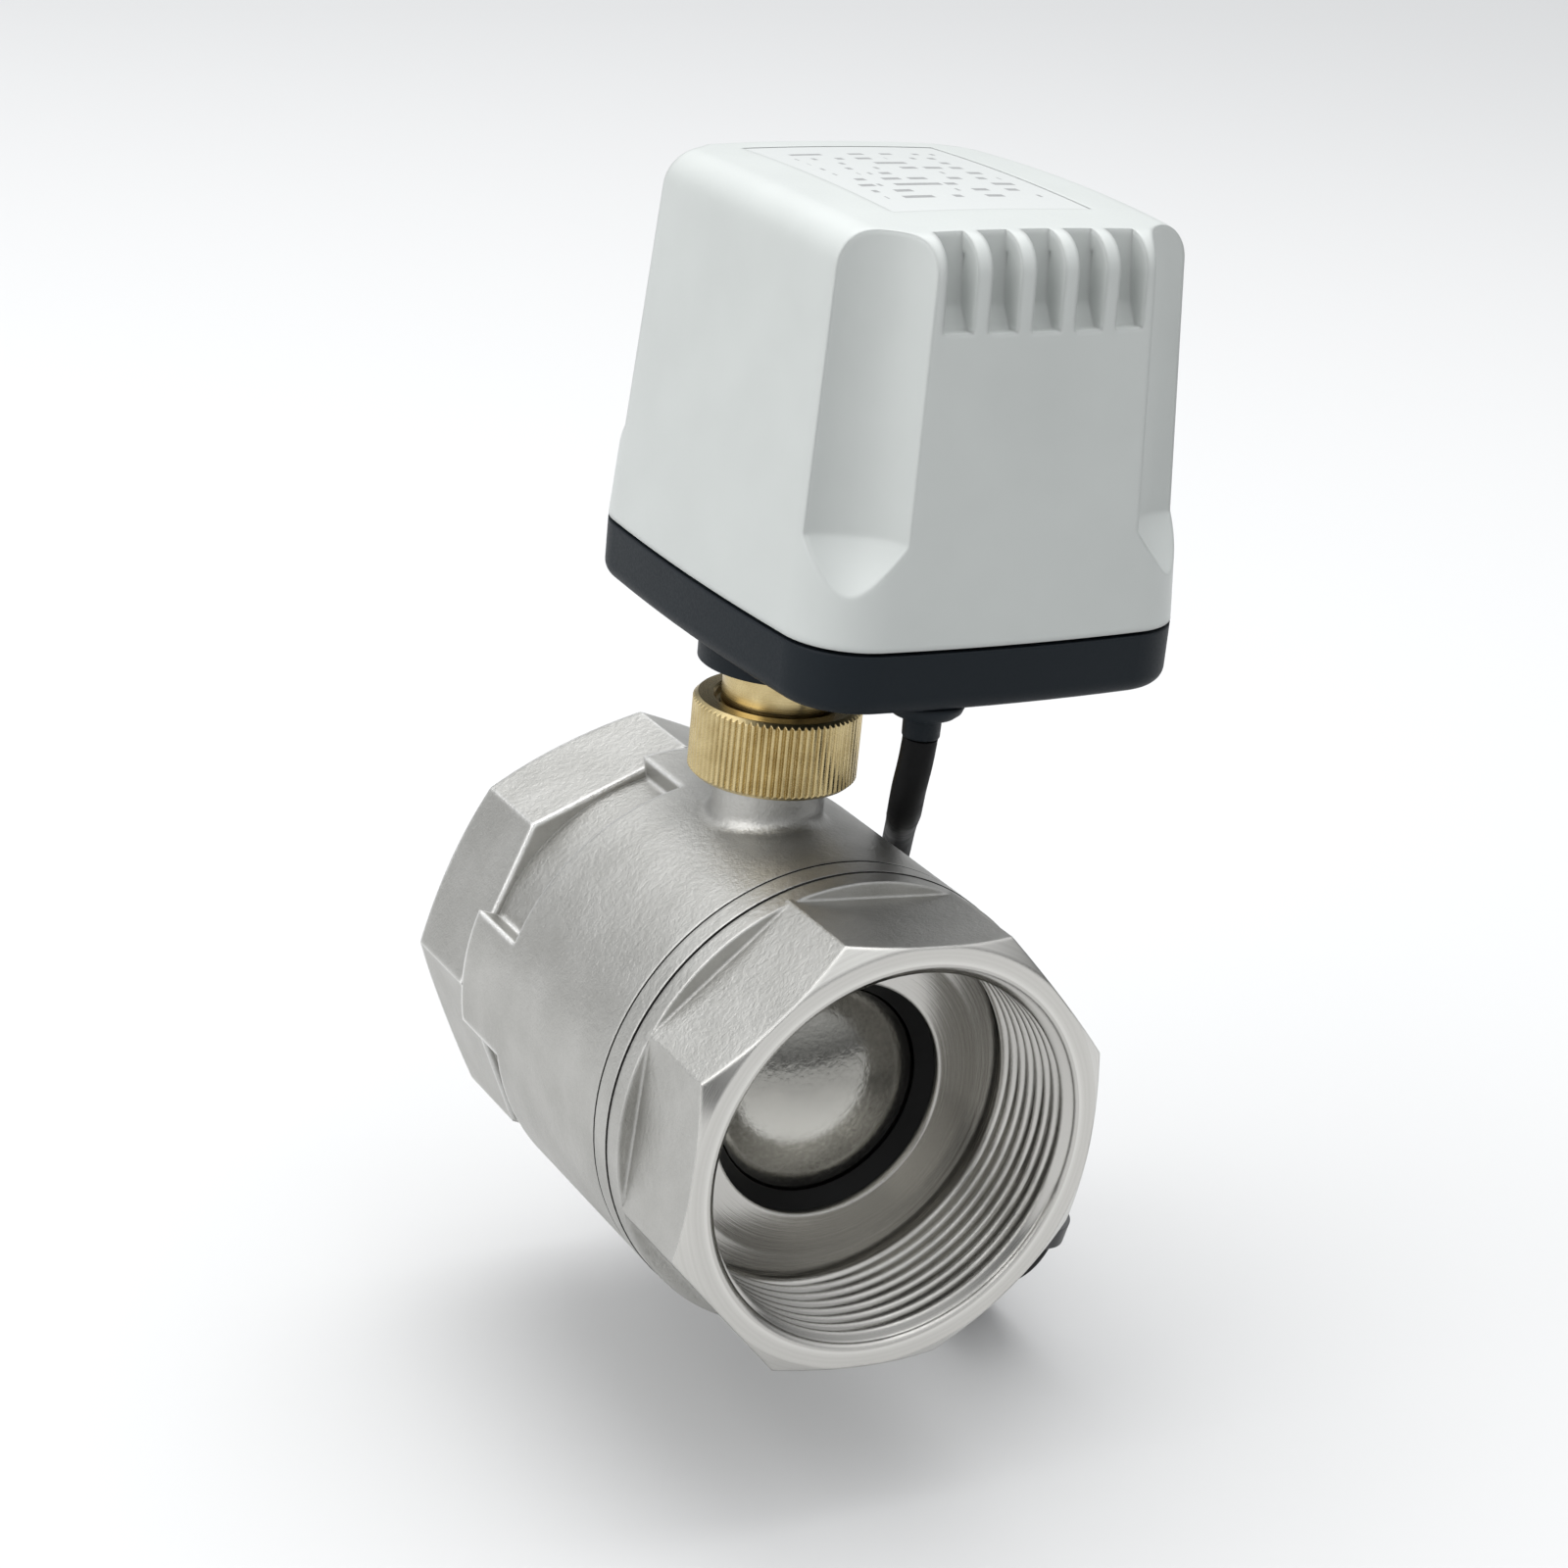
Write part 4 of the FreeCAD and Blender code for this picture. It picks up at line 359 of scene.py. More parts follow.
    def surface(
        self, colour: object, roughness: object, normal: Socket, **fixed: object
    ) -> bpy.types.Material:
        """Close the tree with its shader.

        Args:
            colour: The base colour.
            roughness: The roughness.
            normal: The normal.
            fixed: Other inputs of the shader by name, the same all over.

        Returns:
            The finished material.
        """
        shader = self.node("ShaderNodeBsdfPrincipled")
        self.feed(shader.inputs["Base Color"], colour)
        self.feed(shader.inputs["Roughness"], roughness)
        self.feed(shader.inputs["Normal"], normal)
        for key, value in fixed.items():
            self.feed(shader.inputs[key.replace("_", " ")], value)
        output = self.node("ShaderNodeOutputMaterial")
        self.tree.links.new(shader.outputs[0], output.inputs["Surface"])
        return self.material


class Finish:
    """What a surface is made of and how it was worked."""

    def make(self, name: str) -> bpy.types.Material:
        """Build the material.

        Args:
            name: The material's name.

        Returns:
            The material.
        """
        raise NotImplementedError(name)


@dataclass(frozen=True)
class CastSteel(Finish):
    """Blasted casting of stainless steel with turned ends, mouth and bore."""

    tone: Colour = (0.485, 0.48, 0.46)
    shade: Colour = (0.415, 0.41, 0.39)
    turned: Colour = (0.67, 0.66, 0.63)
    bored: Colour = (0.52, 0.51, 0.485)
    # Near-white colour painted along the edges as a highlight.
    highlight_colour: Colour = (0.95, 0.945, 0.93)
    dirt: Colour = (0.035, 0.034, 0.032)
    bore: float = 30.3 * MM
    end_zone: float = 43.5 * MM
    end_slope: float = 0.35
    rear_zone: float = 13.0 * MM
    edge: float = 0.8 * MM
    rear_edge: float = 1.5 * MM
    # How much of the painted edge highlight the front and the rear get.
    edge_highlight: float = 0.15
    rear_edge_highlight: float = 0.9
    joints: tuple[float, ...] = (-25.05 * MM, -21.0 * MM)
    joint_half_width: float = 0.22 * MM
    mottle: float = 9.0 * MM
    grain: float = 0.34 * MM
    grain_detail: float = 4.0
    grain_depth: float = 0.062 * MM
    pit: float = 1.1 * MM
    pit_detail: float = 2.0
    pit_limits: Span = (0.30, 0.62)
    pit_share: float = 0.55
    tool_mark: float = 0.16 * MM
    tool_mark_share: float = 0.13
    tool_band: float = 1.7 * MM
    tool_band_limits: Span = (0.8, 0.3)
    cast_roughness: Span = (0.40, 0.52)
    turned_roughness: Span = (0.12, 0.24)

    def end_faces(self, work: Recipe, y: Socket) -> Socket:
        """Share that is 1 on the turned faces at the two ends.

        Args:
            work: The material's recipe.
            y: The place along the pipe axis.

        Returns:
            The share's socket.
        """
        normal = work.node("ShaderNodeSeparateXYZ")
        work.feed(normal.inputs[0], work.node("ShaderNodeNewGeometry").outputs["Normal"])
        facing = work.above(work.size(normal.outputs[1]), self.end_slope)
        return work.times(facing, work.above(work.size(y), self.end_zone))

    def skin(self, work: Recipe, y: Socket, painted_highlight: Socket) -> Socket:
        """Colour of the blasted skin, with a painted highlight along its edges and dark joint
        lines.

        Args:
            work: The material's recipe.
            y: The place along the pipe axis.
            painted_highlight: How strongly an edge takes the painted highlight colour.

        Returns:
            The colour's socket.
        """
        colour = work.blend(work.spread(work.noise(self.mottle)), self.shade, self.tone)
        # Painted highlight: edges are blended towards a near-white colour.
        colour = work.blend(painted_highlight, colour, self.highlight_colour)
        for joint in self.joints:
            away = work.size(work.math("SUBTRACT", y, joint))
            colour = work.blend(work.below(away, self.joint_half_width), colour, self.dirt)
        return colour

    def make(self, name: str) -> bpy.types.Material:
        """Build the material.

        Args:
            name: The material's name.

        Returns:
            The material.
        """
        work = Recipe(name)
        x, y, z = work.axes()
        radius = work.reach(x, z)
        along = work.math("ADD", radius, y)
        inside = work.below(radius, self.bore)
        machined = work.math("MAXIMUM", inside, self.end_faces(work, y))
        rear = work.above(y, self.rear_zone)
        rounded = work.soft_edge(work.between(rear, self.edge, self.rear_edge))
        # Painted edge highlight, faint at the front and strong behind the rear zone.
        full_highlight = work.between(rear, self.edge_highlight, self.rear_edge_highlight)
        painted_highlight = work.times(work.edge_share(rounded), full_highlight)
        grain = work.noise(self.grain, self.grain_detail)
        marks = work.streaks(along, self.tool_mark)

        bright = work.blend(inside, self.turned, self.bored)
        bands = work.spread(work.streaks(along, self.tool_band), *self.tool_band_limits)
        bright = work.blend(bands, bright, self.bored)
        colour = work.blend(machined, self.skin(work, y, painted_highlight), bright)
        cast_roughness = work.between(work.spread(grain), *self.cast_roughness)
        turned_roughness = work.between(work.spread(marks), *self.turned_roughness)
        roughness = work.between(machined, cast_roughness, turned_roughness)
        pits = work.spread(work.noise(self.pit, self.pit_detail), *self.pit_limits)
        cast_height = work.math("ADD", grain, work.times(pits, self.pit_share))
        height = work.between(machined, cast_height, work.times(marks, self.tool_mark_share))
        bumped = work.bump(height, self.grain_depth, rounded)
        return work.surface(colour, roughness, bumped, Metallic=1.0)


@dataclass(frozen=True)
class TurnedMetal(Finish):
    """Bright metal turned about the stem axis, with fine rings from the tool and a painted
    highlight along its edges.
    """

    tone: Colour
    shade: Colour
    roughness: float
    roughness_range: Span = (0.8, 1.3)
    stain: float = 3.2 * MM
    stain_limits: Span = (0.32, 0.68)
    mark: float = 0.14 * MM
    mark_depth: float = 0.004 * MM
    edge: float = 0.18 * MM
    # Painted highlight: how much lighter copy of the tone the edges get.
    edge_highlight: float = 0.6
    edge_highlight_tone: float = 1.12

    def make(self, name: str) -> bpy.types.Material:
        """Build the material.

        Args:
            name: The material's name.

        Returns:
            The material.
        """
        work = Recipe(name)
        x, y, z = work.axes()
        marks = work.streaks(work.math("ADD", work.reach(x, y), z), self.mark)
        rounded = work.soft_edge(self.edge)
        painted_highlight = work.times(work.edge_share(rounded), self.edge_highlight)
        stained = work.spread(work.noise(self.stain), *self.stain_limits)
        colour = work.blend(stained, self.shade, self.tone)
        # Painted highlight: edges are blended towards a lighter copy of the tone.
        colour = work.blend(painted_highlight, colour, scaled(self.tone, self.edge_highlight_tone))
        limits = (self.roughness * part for part in self.roughness_range)
        rough = work.between(work.spread(marks), *limits)
        bumped = work.bump(marks, self.mark_depth, rounded)
        return work.surface(colour, rough, bumped, Metallic=1.0)


@dataclass(frozen=True)
class PolishedBall(Finish):
    """Ground and polished steel ball, speckled towards its top, with a painted dark reflection
    over its top.
    """

    tone: Colour = (0.60, 0.59, 0.55)
    shade: Colour = (0.53, 0.52, 0.48)
    # Painted dark reflection over the top of the ball, with a wavy lower edge.
    painted_dark_reflection: Colour = (0.27, 0.265, 0.245)
    reflection_share: float = 0.85
    dark_top_start: float = -2.0 * MM
    dark_top_end: float = 5.0 * MM
    drift: float = 5.0 * MM
    drift_detail: float = 2.0
    drift_height: float = 4.0 * MM
    speck: float = 0.75 * MM
    speck_depth: float = 0.05 * MM
    polished_speck_share: float = 0.35
    roughness: Span = (0.13, 0.25)
    edge: float = 0.4 * MM

    def make(self, name: str) -> bpy.types.Material:
        """Build the material.

        Args:
            name: The material's name.

        Returns:
            The material.
        """
        work = Recipe(name)
        height = work.axes()[2]
        specks = work.noise(self.speck)
        drift = work.noise(self.drift, self.drift_detail)
        wavy = work.math("ADD", height, work.times(drift, self.drift_height))
        top_share = work.spread(wavy, self.dark_top_start, self.dark_top_end)
        polished = work.blend(work.spread(drift), self.shade, self.tone)
        # Painted reflection: the ball gets darker towards its top.
        colour = work.blend(work.times(top_share, self.reflection_share), polished, self.painted_dark_reflection)
        rough = work.between(work.spread(specks), *self.roughness)
        relief = work.times(specks, work.between(top_share, self.polished_speck_share, 1.0))
        bumped = work.bump(relief, self.speck_depth, work.soft_edge(self.edge))
        return work.surface(colour, rough, bumped, Metallic=1.0)


@dataclass(frozen=True)
class Plastic(Finish):
    """Moulded plastic with a fine spark texture and a painted highlight along its edges."""

    tone: Colour
    roughness: float
    grain: float = 0.30 * MM
    grain_depth: float = 0.006 * MM
    edge: float = 0.6 * MM
    # How much painted highlight the edges get, and how light it is.
    rim_highlight: float = 0.25
    gloss: float = 0.5
    cloud: float = 14.0 * MM
    cloud_detail: float = 2.0
    shade_tone: float = 0.955
    rim_highlight_tone: float = 1.1
    rim_highlight_lift: float = 0.03
    roughness_range: Span = (0.9, 1.1)

    def make(self, name: str) -> bpy.types.Material:
        """Build the material.

        Args:
            name: The material's name.

        Returns:
            The material.
        """
        work = Recipe(name)
        grain = work.noise(self.grain)
        cloud = work.spread(work.noise(self.cloud, self.cloud_detail))
        rounded = work.soft_edge(self.edge)
        rim_highlighted = work.times(work.edge_share(rounded), self.rim_highlight)
        colour = work.blend(cloud, scaled(self.tone, self.shade_tone), self.tone)
        # Painted highlight: edges are blended towards a lighter copy of the tone.
        colour = work.blend(rim_highlighted, colour, scaled(self.tone, self.rim_highlight_tone, self.rim_highlight_lift))
        limits = (self.roughness * part for part in self.roughness_range)
        rough = work.between(work.spread(grain), *limits)
        bumped = work.bump(grain, self.grain_depth, rounded)
        return work.surface(colour, rough, bumped, Specular_IOR_Level=self.gloss)


@dataclass(frozen=True)
class PrintedLabel(Finish):
    """Pale label with rows of plain grey dashes, which stand for print."""

    tone: Colour = (0.475, 0.49, 0.483)
    ink: Colour = (0.12, 0.12, 0.125)
    ink_share: Span = (0.45, 0.85)
    roughness: float = 0.36
    centre_x: float = 15.4 * MM
    centre_y: float = 3.0 * MM
    half_width: float = 12.6 * MM
    half_length: float = 16.0 * MM
    row: float = 3.7 * MM
    line_share: float = 0.38
    words_per_metre: float = 330.0
    row_shift: float = 7.31
    word_limit: float = 0.54
    ink_grain: float = 0.5 * MM
    paper_grain: float = 0.3 * MM
    paper_depth: float = 0.003 * MM
    edge: float = 0.2 * MM

    def words(self, work: Recipe, side: Socket, number: Socket) -> Socket:
        """Share that is 1 on the dashes of a row, other ones in every row.

        Args:
            work: The material's recipe.
            side: The place along the row.
            number: The row's number.

        Returns:
            The share's socket.
        """
        spot = work.node("ShaderNodeCombineXYZ")
        work.feed(spot.inputs[0], work.times(side, self.words_per_metre))
        work.feed(spot.inputs[1], work.times(number, self.row_shift))
        noise = work.node("ShaderNodeTexNoise", noise_dimensions="2D")
        work.feed(noise.inputs["Vector"], spot.outputs[0])
        noise.inputs["Scale"].default_value = 1.0
        noise.inputs["Detail"].default_value = 1.0
        return work.above(noise.outputs["Fac"], self.word_limit)

    def make(self, name: str) -> bpy.types.Material:
        """Build the material.

        Args:
            name: The material's name.

        Returns:
            The material.
        """
        work = Recipe(name)
        x, y, _ = work.axes()
        side = work.math("SUBTRACT", x, self.centre_x)
        along = work.math("SUBTRACT", y, self.centre_y)
        rows = work.math("DIVIDE", along, self.row)
        line = work.below(work.math("FRACT", rows), self.line_share)
        words = self.words(work, side, work.math("FLOOR", rows))
        across_field = work.below(work.size(side), self.half_width)
        along_field = work.below(work.size(along), self.half_length)
        inked = work.times(work.times(line, words), work.times(across_field, along_field))
        faded = work.times(inked, work.between(work.noise(self.ink_grain), *self.ink_share))
        colour = work.blend(faded, self.tone, self.ink)
        paper = work.noise(self.paper_grain)
        bumped = work.bump(paper, self.paper_depth, work.soft_edge(self.edge))
        return work.surface(colour, self.roughness, bumped)


@dataclass(frozen=True)
class Jacket(Finish):
    """Soft vinyl of a cable or a rubber ring, slightly dusty."""

    tone: Colour
    dust: Colour
    roughness: float
    gloss: float = 0.3
    dusty_roughness: float = 0.16
    cloud: float = 4.0 * MM
    cloud_detail: float = 4.0
    cloud_limits: Span = (0.42, 0.75)
    grain: float = 0.35 * MM
    grain_detail: float = 2.0
    grain_depth: float = 0.008 * MM
    edge: float = 0.3 * MM

    def make(self, name: str) -> bpy.types.Material:
        """Build the material.

        Args:
            name: The material's name.

        Returns:
            The material.
        """
        work = Recipe(name)
        cloud = work.spread(work.noise(self.cloud, self.cloud_detail), *self.cloud_limits)
        colour = work.blend(cloud, self.tone, self.dust)
        rough = work.between(cloud, self.roughness, self.roughness + self.dusty_roughness)
        grain = work.noise(self.grain, self.grain_detail)
        bumped = work.bump(grain, self.grain_depth, work.soft_edge(self.edge))
        return work.surface(colour, rough, bumped, Specular_IOR_Level=self.gloss)


@dataclass(frozen=True)
class BoardLaminate(Finish):
    """Green circuit board with copper tracks under its lacquer."""

    lacquer: Colour = (0.012, 0.10, 0.035)
    track: Colour = (0.03, 0.19, 0.07)
    roughness: float = 0.28
    fields_per_metre: float = 260.0
    track_limits: Span = (0.86, 0.94)
    track_depth: float = 0.02 * MM
    edge: float = 0.15 * MM

    def make(self, name: str) -> bpy.types.Material:
        """Build the material.

        Args:
            name: The material's name.

        Returns:
            The material.
        """
        work = Recipe(name)
        cells = work.node("ShaderNodeTexVoronoi", distance="MANHATTAN", feature="F2")
        work.feed(cells.inputs["Vector"], work.place)
        cells.inputs["Scale"].default_value = self.fields_per_metre
        track = work.spread(cells.outputs["Distance"], *self.track_limits)
        colour = work.blend(track, self.lacquer, self.track)
        bumped = work.bump(track, self.track_depth, work.soft_edge(self.edge))
        return work.surface(colour, self.roughness, bumped)


FINISHES: dict[Slot, Finish] = {
    Slot.CAST_STEEL: CastSteel(),
    Slot.POLISHED_STEEL: PolishedBall(),
    Slot.MACHINED_STEEL: TurnedMetal((0.66, 0.65, 0.63), (0.52, 0.51, 0.50), 0.24),
    Slot.PLATE_STEEL: TurnedMetal((0.60, 0.60, 0.58), (0.48, 0.48, 0.47), 0.34),
    Slot.BRASS: TurnedMetal((0.58, 0.47, 0.25), (0.45, 0.35, 0.17), 0.26),
    Slot.COPPER: TurnedMetal((0.86, 0.45, 0.28), (0.70, 0.34, 0.20), 0.26),
    Slot.SEAT_POLYMER: Jacket((0.004, 0.004, 0.004), (0.008, 0.008, 0.008), 0.5, 0.15),
    Slot.SEAL_WHITE: Plastic((0.78, 0.77, 0.74), 0.35),
    Slot.SEAL_RUBBER: Jacket((0.015, 0.015, 0.015), (0.04, 0.04, 0.04), 0.5),
    Slot.BASE_PLASTIC: Plastic(
        (0.007, 0.0105, 0.014), 0.5,
        grain=0.4 * MM, grain_depth=0.012 * MM, rim_highlight=0.1, gloss=0.14,
    ),
    Slot.COVER_PLASTIC: Plastic(
        (0.455, 0.475, 0.463), 0.40,
        grain=0.35 * MM, grain_depth=0.004 * MM, edge=1.3 * MM, rim_highlight=0.4,
    ),
    Slot.LABEL: PrintedLabel(),
    Slot.NYLON: Plastic((0.70, 0.69, 0.64), 0.38, edge=0.2 * MM),
    Slot.SWITCH_PLASTIC: Plastic((0.020, 0.020, 0.022), 0.42, edge=0.2 * MM),
    Slot.PLUNGER_PLASTIC: Plastic((0.50, 0.03, 0.03), 0.36, edge=0.15 * MM),
    Slot.BOARD: BoardLaminate(),
    Slot.DARK_PART: Plastic((0.022, 0.023, 0.026), 0.34, edge=0.2 * MM),
    Slot.RELAY_PLASTIC: Plastic((0.05, 0.16, 0.42), 0.32, edge=0.3 * MM),
    Slot.TERMINAL_PLASTIC: Plastic((0.06, 0.34, 0.13), 0.38, edge=0.2 * MM),
    Slot.CABLE_JACKET: Jacket((0.003, 0.003, 0.0033), (0.007, 0.007, 0.0074), 0.52, 0.09),
    Slot.CORE_PLASTIC: Plastic((0.50, 0.08, 0.05), 0.36, edge=0.1 * MM),
    Slot.TIE_PLASTIC: Plastic((0.030, 0.030, 0.032), 0.36, edge=0.2 * MM),
}


class Shop:
    """Holds the valve's materials, each built once, and puts them on pieces."""

    def __init__(self) -> None:
        """Make the material of every finish, named as its slot."""
        self.materials = {slot: finish.make(slot.value) for slot, finish in FINISHES.items()}

    def dress(self, piece: bpy.types.Object, slot: Slot) -> None:
        """Put one finish on a piece.

        Args:
            piece: The piece's object.
            slot: The finish's slot.
        """
        piece.data.materials.clear()
        piece.data.materials.append(self.materials[slot])


@dataclass
class SupplyCord:
    """Supply cable that hangs from the gland into a tied coil behind the valve.

    Its sizes are in millimetres.
    """

    name: str = "supply_cord"
    nodes: tuple[str, ...] = ("cable", "cable_coil")
    fittings: tuple[str, ...] = ("coil_tie", "core_wires", "core_tips")
    diameter: float = 5.0
    length: float = 483.6
    route: tuple[Point, ...] = (
        (5.5, -31.0, 58.3),
        (5.6, -30.5, 54.6),
        (6.3, -28.3, 49.6),
        (8.4, -24.6, 44.9),
        (11.6, -19.4, 41.2),
        (18.2, -8.8, 36.3),
        (28.0, 6.6, 28.5),
        (36.6, 20.5, 20.8),
        (41.2, 28.6, 11.9),
        (43.385, 35.517, -2.620),
        (43.838, 39.724, -15.965),
    )
    coil_centre: Point = (44.0, 15.0, -29.0)
    coil_radius: float = 27.5
    coil_step: float = 5.6
    coil_turns: int = 2
    coil_start: float = 17.5
    points_per_turn: int = 16
    tail: Point = (55.718, 46.036, -35.982)
    ring_steps: int = 6
    span_steps: int = 10
    order: int = 3

    def coil(self) -> list[Point]:
        """Control points of the coil, set out so that the line has its radius.

        Returns:
            The points in millimetres.
        """
        reach = self.coil_radius / math.cos(math.pi / self.points_per_turn)
        points = []
        for number in range(self.coil_turns * self.points_per_turn + 1):
            share = number / self.points_per_turn
            angle = math.radians(self.coil_start) - 2 * math.pi * share
            x = self.coil_centre[0] + self.coil_step * share
            y = self.coil_centre[1] + reach * math.cos(angle)
            z = self.coil_centre[2] + reach * math.sin(angle)
            points.append((x, y, z))
        return points

    def build(self) -> bpy.types.Object:
        """Lay the cord as one smooth curve.

        Returns:
            The cord's object.
        """
        points = [*self.route, *self.coil(), self.tail]
        curve = bpy.data.curves.new(self.name, "CURVE")
        curve.dimensions = "3D"
        curve.bevel_depth = self.diameter / 2 * MM
        curve.bevel_resolution = self.ring_steps
        curve.resolution_u = self.span_steps
        curve.use_fill_caps = True
        spline = curve.splines.new("NURBS")
        spline.points.add(len(points) - 1)
        for point, place in zip(spline.points, points):
            point.co = (*(part * MM for part in place), 1.0)
        spline.order_u = self.order
        spline.use_endpoint_u = True
        cord = bpy.data.objects.new(self.name, curve)
        bpy.context.scene.collection.objects.link(cord)
        return cord

    def attach(self, cord: bpy.types.Object, shop: Shop) -> None:
        """Args:
            cord: The cord's object.
            shop: The finishes.
        """
        shop.dress(cord, Slot.CABLE_JACKET)
        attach(cord, "valve")
        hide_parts(*self.nodes)


@dataclass
class CableGland:
    """Shallow domed gland under the base, drawn down to a thin sleeve.

    Its sizes are in millimetres. The throat's corners are given outwards from
    the sleeve and down from the shoulder, and the crown's corners inwards from
    the dome and up from the shoulder.
    """

    name: str = "domed_gland"
    node: str = "cable_gland"
    bore: float = 2.53
    sleeve: float = 2.7
    lip: float = 0.2
    throat: tuple[Span, ...] = ((0.05, 0.5), (0.5, 0.1))
    shoulder: float = 61.4
    crown: tuple[Span, ...] = ((1.2, 0.4), (0.4, 1.1))
    dome: float = 5.8
    rim: float = 0.4
    neck: float = 3.95
    boss_drop: float = 4.5
    clearance: float = 0.02
    merge_distance: float = 0.001
    segments: int = 48

    def outline(self, low: float, high: float, brim: float) -> list[Span]:
        """Radius and height of the outline's corners.

        Args:
            low: The height of the sleeve's end.
            high: The height of the top inside the base.
            brim: The height of the base's underside.

        Returns:
            The corners, from the bore's lower end round to its upper end.
        """
        seat = brim - self.clearance
        return [
            (self.bore, low),
            (self.sleeve - self.lip / 2, low),
            (self.sleeve, low + self.lip),
            *((self.sleeve + out, self.shoulder - down) for out, down in self.throat),
            *((self.dome - inwards, self.shoulder + up) for inwards, up in self.crown),
            (self.dome, brim - self.rim),
            (self.dome, seat),
            (self.neck, seat),
            (self.neck, high),
            (self.bore, high),
        ]

    def build(self) -> bpy.types.Object:
        """Spin the outline round the gland's own axis.

        Returns:
            The gland.
        """
        lowest, highest = (Vector(corner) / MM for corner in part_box(self.node))
        middle = (lowest + highest) / 2
        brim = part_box("base_housing")[0][2] / MM + self.boss_drop
        shape = bmesh.new()
        corners = [
            shape.verts.new((radius * MM, 0, height * MM))
            for radius, height in self.outline(lowest.z, highest.z, brim)
        ]
        edges = [shape.edges.new(pair) for pair in zip(corners, corners[1:] + corners[:1])]
        bmesh.ops.spin(
            shape, geom=edges, cent=(0, 0, 0), axis=(0, 0, 1), angle=2 * math.pi,
            steps=self.segments, use_merge=True,
        )
        bmesh.ops.remove_doubles(shape, verts=shape.verts, dist=self.merge_distance * MM)
        bmesh.ops.recalc_face_normals(shape, faces=shape.faces)
        bmesh.ops.translate(shape, verts=shape.verts, vec=(middle.x * MM, middle.y * MM, 0))
        for face in shape.faces:
            face.smooth = True
        mesh = bpy.data.meshes.new(self.name)
        shape.to_mesh(mesh)
        shape.free()
        piece = bpy.data.objects.new(self.name, mesh)
        bpy.context.scene.collection.objects.link(piece)
        return piece

    def attach(self, piece: bpy.types.Object, shop: Shop) -> None:
        """Dress the gland and let it stand for its solid.

        Args:
            piece: The gland.
            shop: The finishes.
        """
        shop.dress(piece, Slot.BASE_PLASTIC)
        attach(piece, "valve")
        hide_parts(self.node)


@dataclass
class DressedGroup:
    """A sub-assembly whose solids keep their shape and only get finishes."""

    title: str
    finishes: dict[Slot, tuple[str, ...]]

    def dress(self, nodes: dict[str, bpy.types.Object], shop: Shop) -> None:
        """Put the finishes on the solids.

        Args:
            nodes: The solids by name.
            shop: The finishes.
        """
        for slot, names in self.finishes.items():
            for name in names:
                shop.dress(nodes[name], slot)
                log.info("%s: %s in %s", self.title, name, slot.value)


def valve_groups() -> list[DressedGroup]:
    """Sub-assemblies of the valve with the finish of each solid.

    Returns:
        The groups, from the pipe to the cable's end.
    """
    return [
        DressedGroup("pipe valve", {
            Slot.CAST_STEEL: ("valve_body", "valve_port_end", "end_cap"),
            Slot.POLISHED_STEEL: ("ball",),
            Slot.SEAT_POLYMER: ("seat_front", "seat_rear"),
            Slot.MACHINED_STEEL: ("stem",),
            Slot.BRASS: ("packing_gland",),
            Slot.SEAL_WHITE: ("stem_washer", "stem_packing", "slip_ring", "body_gasket"),
        }),
        DressedGroup("union joint", {
            Slot.BRASS: ("union_nut", "mounting_collar"),
            Slot.MACHINED_STEEL: ("output_shaft", "output_gear"),
        }),
        DressedGroup("housing", {
            Slot.BASE_PLASTIC: ("base_housing",),
            Slot.COVER_PLASTIC: ("cover",),
            Slot.SEAL_RUBBER: ("cover_gasket",),
            Slot.PLATE_STEEL: ("cover_screws",),
            Slot.LABEL: ("label_panel",),
        }),
        DressedGroup("drive", {
            Slot.NYLON: ("gear_c", "gear_b", "gear_a"),
            Slot.DARK_PART: ("limit_cam",),
            Slot.PLATE_STEEL: ("lower_gear_plate", "upper_gear_plate", "motor", "motor_screws"),
            Slot.MACHINED_STEEL: ("plate_pillars", "gear_axles"),
            Slot.BRASS: ("motor_pinion", "lower_shaft_bush", "upper_shaft_bush"),
        }),
        DressedGroup("control", {
            Slot.SWITCH_PLASTIC: ("limit_switch_closed", "limit_switch_open"),
            Slot.PLUNGER_PLASTIC: ("switch_plunger_closed", "switch_plunger_open"),
            Slot.BOARD: ("circuit_board",),
            Slot.MACHINED_STEEL: ("board_standoffs", "switch_posts"),
            Slot.DARK_PART: ("capacitor", "control_chip"),
            Slot.RELAY_PLASTIC: ("relay",),
            Slot.TERMINAL_PLASTIC: ("terminal_block",),
            Slot.CABLE_JACKET: ("cable_entry",),
        }),
        DressedGroup("lead end", {
            Slot.TIE_PLASTIC: ("coil_tie",),
            Slot.CORE_PLASTIC: ("core_wires",),
            Slot.COPPER: ("core_tips",),
        }),
    ]


@dataclass(frozen=True)
class SoftLight:
    """Square soft light, with its place and side in metres."""

    name: str
    place: Point
    side: float
    watts: float

    def hang(self, target: Point) -> None:
        """Hang the light so that it faces a point.

        Args:
            target: The point in metres.
        """
        data = bpy.data.lights.new(self.name, "AREA")
        data.shape = "SQUARE"
        data.size = self.side
        data.energy = self.watts
        light = bpy.data.objects.new(self.name, data)
        light.location = self.place
        aim = Vector(target) - Vector(self.place)
        light.rotation_euler = aim.to_track_quat("-Z", "Y").to_euler()
        bpy.context.scene.collection.objects.link(light)


